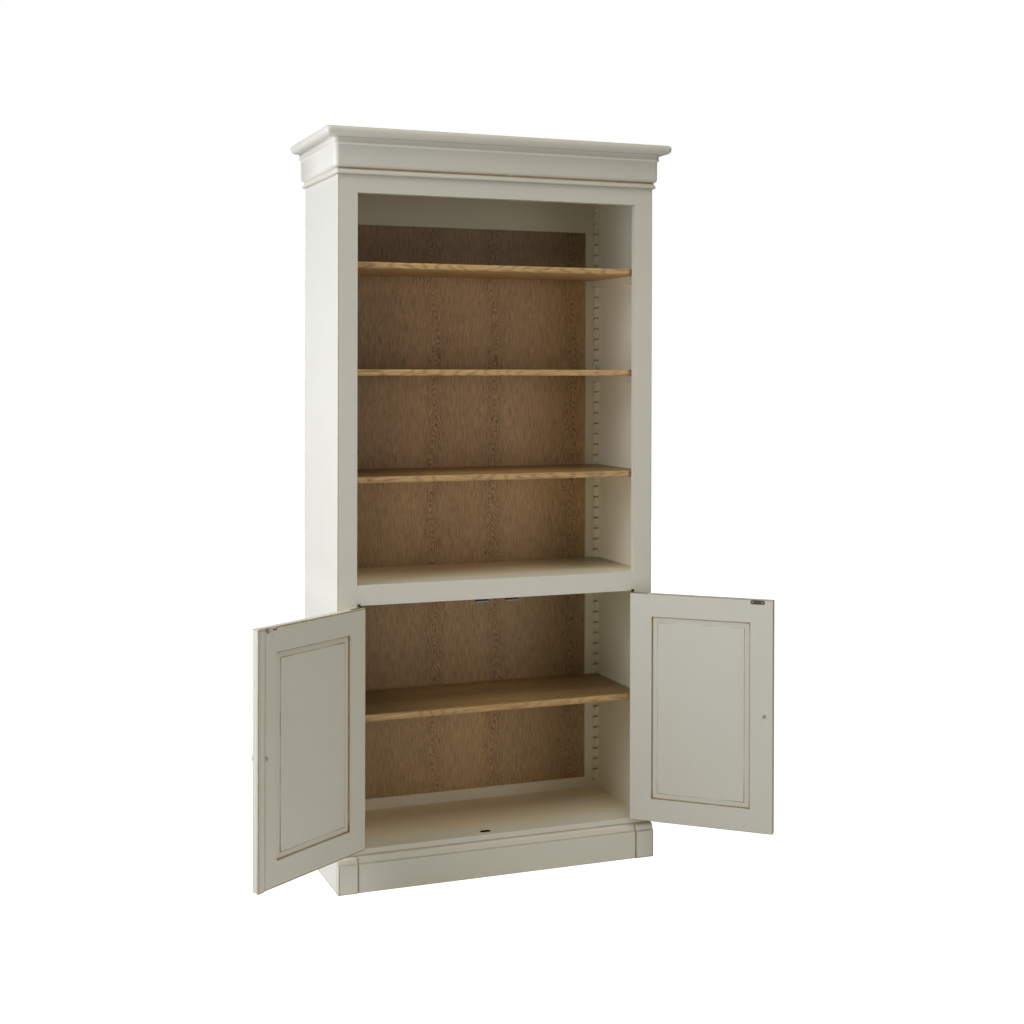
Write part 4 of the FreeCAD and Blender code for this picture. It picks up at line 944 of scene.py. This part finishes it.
def sink_cross(bm, reach, width, depth):
    """Sinks a cross into the top of a screw head that stands on Z."""
    for axis in (0, 1):
        for level in (-reach, -width / 2, width / 2, reach):
            normal = Vector((axis == 0, axis == 1, 0))
            cut(bm, normal * level, normal)
    bm.normal_update()
    sunk = []
    for face in bm.faces:
        middle = face.calc_center_median()
        near, far = sorted(abs(value) for value in middle.xy)
        if abs(face.normal.z) > 0.4 and middle.z > 0 and near < width / 2 and far < reach:
            sunk.append(face)
    made = bmesh.ops.extrude_face_region(bm, geom=sunk)["geom"]
    bmesh.ops.translate(bm, verts=only(BMVert, made), vec=(0, 0, -depth))
    bmesh.ops.delete(bm, geom=[face for face in sunk if face.is_valid], context="FACES_ONLY")


def plate_shell():
    """An oval plate that lies on Z = 0, with a rounded rim round a sunken field."""
    length, height, thickness = STRIKE_SIZE
    bm = bmesh.new()
    bmesh.ops.create_circle(bm, cap_ends=True, segments=72, radius=height / 2)
    for vert in bm.verts:
        if abs(vert.co.x) > TINY:
            vert.co.x += math.copysign((length - height) / 2, vert.co.x)
    top = only(BMFace, bmesh.ops.extrude_face_region(bm, geom=bm.faces[:])["geom"])
    bmesh.ops.translate(bm, verts=top[0].verts[:], vec=(0, 0, thickness))
    bmesh.ops.holes_fill(bm, edges=[edge for edge in bm.edges if edge.is_boundary], sides=0)
    outline = top[0].edges[:]
    bmesh.ops.recalc_face_normals(bm, faces=bm.faces)
    bmesh.ops.inset_individual(bm, faces=top, thickness=1.3 * MM, depth=-0.3 * MM)
    bmesh.ops.bevel(bm, geom=outline, offset=0.35 * MM, offset_type="OFFSET", segments=3, profile=0.5,
                    affect="EDGES", material=-1)
    return bm


def worn_plate(settings, paint):
    """Steel at the front, brass in the middle, and paint with two holes at the rear, drawn in painted
    shade.
    """
    material, s, place = new_material("Worn plate")
    x, _, z = s.split(shut_place(s, place, "left_door"))
    found = aged_metal(s, place, settings.steel, 0.4, settings.patina)
    steel = s.ease(x, -0.039, -0.037)
    painted = s.fade(x, -0.0535, -0.0515)
    flat = s.join(x, 0, s.times(s.minus(z, STRIKE_PLACE[2]), 0.66))
    # The two holes are painted shade: dark discs in the keeper colour.
    to_hole = s.least(*(s.distance(flat, (middle, 0, 0)) for middle in STRIKE_HOLES))
    hole_shade = s.fade(to_hole, 0.0026, 0.0032)
    colour = s.mix(painted, s.mix(0.66, settings.brass, paint.paint), linear(244, 240, 220))
    colour = s.mix(s.minus(1, steel), found["Colour"], colour)
    found["Colour"] = s.mix(hole_shade, colour, settings.keeper)
    found["Metallic"] = s.times(found["Metallic"], steel)
    found["Roughness"] = s.most(found["Roughness"], hole_shade)
    surface(s, found, METAL_RELIEF)
    return material


class BOOKCASE_OT_fit_hardware(bpy.types.Operator):
    """Turns the knobs and their bolts, and makes the strike plates with their screws"""
    bl_idname = "bookcase.fit_hardware"
    bl_label = "Fit the hardware"

    def execute(self, context):
        settings = context.scene.bookcase_metal
        steel = metal_material("Screw steel", settings.steel, 0.22, settings)
        plate = metal_material("Plate steel", settings.plate, 0.3, settings)
        for body in DOORS:
            paint = bpy.data.materials[door_paint(body)]
            outward, inward = Matrix.Rotation(math.pi / 2, 4, "X"), Matrix.Rotation(-math.pi / 2, 4, "X")
            at_knob = door_matrix(body) @ Matrix.Translation(KNOB_PLACE)
            at_bolt = at_knob @ Matrix.Translation((0, DOOR_HIGH.y, 0)) @ inward
            at_plate = door_matrix(body) @ Matrix.Translation(STRIKE_PLACE) @ inward

            knob = turned(KNOB_PROFILE, 64)
            new_piece(knob, f"{body}_turned_knob", paint, body, "painted_wood", f"{body}_knob",
                      at=at_knob @ outward)

            bolt = turned(BOLT_PROFILE, 48)
            sink_cross(bolt, *BOLT_CROSS)
            new_piece(bolt, f"{body}_cross_bolt", steel, body, "screw_steel", f"{body}_knob_bolt",
                      at=at_bolt)

            finish = plate
            if body == "left_door":
                finish = worn_plate(settings, context.scene.bookcase_paint)
            new_piece(plate_shell(), f"{body}_rimmed_plate", finish, body, "dark_steel",
                      f"{body}_strike_plate", at=at_plate)
            for side in (1, -1) if body == "right_door" else (1,):
                screw = turned(SCREW_PROFILE, 32)
                sink_cross(screw, *SCREW_CROSS)
                seat = Matrix.Translation((side * STRIKE_SCREW, 0, STRIKE_SIZE[2] - 0.25 * MM))
                end = "front" if side > 0 else "rear"
                new_piece(screw, f"{body}_plate_screw_{end}", steel, body, "screw_steel",
                          at=at_plate @ seat)
        return {"FINISHED"}


def light_room(scene, settings):
    world = bpy.data.worlds.new("Studio room")
    world.use_nodes = True
    world.node_tree.nodes.clear()
    s = Shading(world.node_tree)
    room = s.node("ShaderNodeBackground", {"Color": (0.99, 0.97, 1), "Strength": settings.ambient})
    white = s.node("ShaderNodeBackground", {"Color": (1, 1, 1), "Strength": 1})
    seen = s.node("ShaderNodeLightPath").outputs["Is Camera Ray"]
    both = s.node("ShaderNodeMixShader", {0: seen, 1: room.outputs[0], 2: white.outputs[0]})
    s.node("ShaderNodeOutputWorld", {"Surface": both.outputs[0]})
    scene.world = world


class BOOKCASE_OT_build_studio(bpy.types.Operator):
    """Builds the floor, the lights and the camera"""
    bl_idname = "bookcase.build_studio"
    bl_label = "Build the studio"

    floor_size = 9
    floor_glow = 1.35             # brings the floor near white for the camera
    floor_white = 0.86            # share of that glow in what the camera sees
    light_aim = Vector((0, 0.1, 1.1))
    camera_place = Vector((-1.5954, -4.1051, 1.5051))
    camera_yaw = -0.3604
    camera_dip = -0.0045
    camera_roll = 0.0023
    camera_lens = 52.04
    camera_shift = (0.0255, -0.1337)

    def execute(self, context):
        scene = context.scene
        settings = scene.bookcase_studio
        scene.view_settings.view_transform = "Standard"
        self.build_floor(scene, settings)
        light_room(scene, settings)
        for name, place, power, size, colour in (
                ("Key light", (-2.8, -0.1, 1.92), settings.key, settings.key_size, (0.83, 0.86, 1)),
                ("Fill light", (2.5, -4.5, 1.2), settings.fill, 2, (1, 0.94, 0.965)),
                ("Overhead light", (0, -1.5, 4.5), settings.overhead, 2, (0.99, 1, 0.84))):
            self.area_light(scene, name, place, power, size, colour)
        self.place_camera(scene)
        return {"FINISHED"}

    def build_floor(self, scene, settings):
        bm = bmesh.new()
        bmesh.ops.create_grid(bm, x_segments=4, y_segments=4, size=self.floor_size)
        mesh = bpy.data.meshes.new("Studio_floor")
        bm.to_mesh(mesh)
        bm.free()
        floor = bpy.data.objects.new("Studio_floor", mesh)
        scene.collection.objects.link(floor)
        material, s, place = new_material("Studio floor")
        cloud = s.noise(place, 1.5, 3)
        colour = s.mix(s.times(cloud, 0.12), settings.floor, (0.95, 0.95, 0.95))
        diffuse = s.node("ShaderNodeBsdfDiffuse", {"Color": colour})
        white = s.node("ShaderNodeEmission", {"Color": (1, 1, 1), "Strength": self.floor_glow})
        seen = s.times(s.node("ShaderNodeLightPath").outputs["Is Camera Ray"], self.floor_white)
        both = s.node("ShaderNodeMixShader", {0: seen, 1: diffuse.outputs[0], 2: white.outputs[0]})
        s.node("ShaderNodeOutputMaterial", {"Surface": both.outputs[0]})
        mesh.materials.append(material)

    def area_light(self, scene, name, place, power, size, colour):
        data = bpy.data.lights.new(name, "AREA")
        data.shape = "SQUARE"
        data.size = size
        data.energy = power
        data.color = colour
        light = bpy.data.objects.new(name, data)
        towards = self.light_aim - Vector(place)
        turn = towards.to_track_quat("-Z", "Y").to_matrix().to_4x4()
        light.matrix_world = Matrix.Translation(place) @ turn
        light.visible_camera = False
        scene.collection.objects.link(light)

    def place_camera(self, scene):
        data = bpy.data.cameras.new("Camera")
        data.sensor_width = 36
        data.lens = self.camera_lens
        data.shift_x, data.shift_y = self.camera_shift
        camera = bpy.data.objects.new("Camera", data)
        turn = (Matrix.Rotation(self.camera_yaw, 4, "Z")
                @ Matrix.Rotation(math.pi / 2 + self.camera_dip, 4, "X")
                @ Matrix.Rotation(self.camera_roll, 4, "Z"))
        camera.matrix_world = Matrix.Translation(self.camera_place) @ turn
        scene.collection.objects.link(camera)
        scene.camera = camera


STEPS = (
    BOOKCASE_OT_paint_case,
    BOOKCASE_OT_paint_doors,
    BOOKCASE_OT_round_cornice,
    BOOKCASE_OT_finish_oak,
    BOOKCASE_OT_finish_metal,
    BOOKCASE_OT_fit_hardware,
    BOOKCASE_OT_build_studio,
)


class VIEW3D_PT_bookcase(bpy.types.Panel):
    """Lists the settings and the steps of the bookcase"""
    bl_label = "Bookcase"
    bl_space_type = "VIEW_3D"
    bl_region_type = "UI"
    bl_category = "Bookcase"

    def draw(self, context):
        for name, settings in SETTINGS.items():
            box = self.layout.box()
            box.label(text=settings.__name__)
            for setting in settings.__annotations__:
                box.prop(getattr(context.scene, name), setting)
        for step in STEPS:
            self.layout.operator(step.bl_idname)


def register():
    for name, settings in SETTINGS.items():
        bpy.utils.register_class(settings)
        setattr(bpy.types.Scene, name, bpy.props.PointerProperty(type=settings))
    for shown in (*STEPS, VIEW3D_PT_bookcase):
        bpy.utils.register_class(shown)


def unregister():
    for shown in (VIEW3D_PT_bookcase, *reversed(STEPS)):
        bpy.utils.unregister_class(shown)
    for name, settings in SETTINGS.items():
        delattr(bpy.types.Scene, name)
        bpy.utils.unregister_class(settings)


def main():
    register()
    for step in STEPS:
        getattr(bpy.ops.bookcase, step.bl_idname.split(".")[1])()


if __name__ == "__main__":
    main()
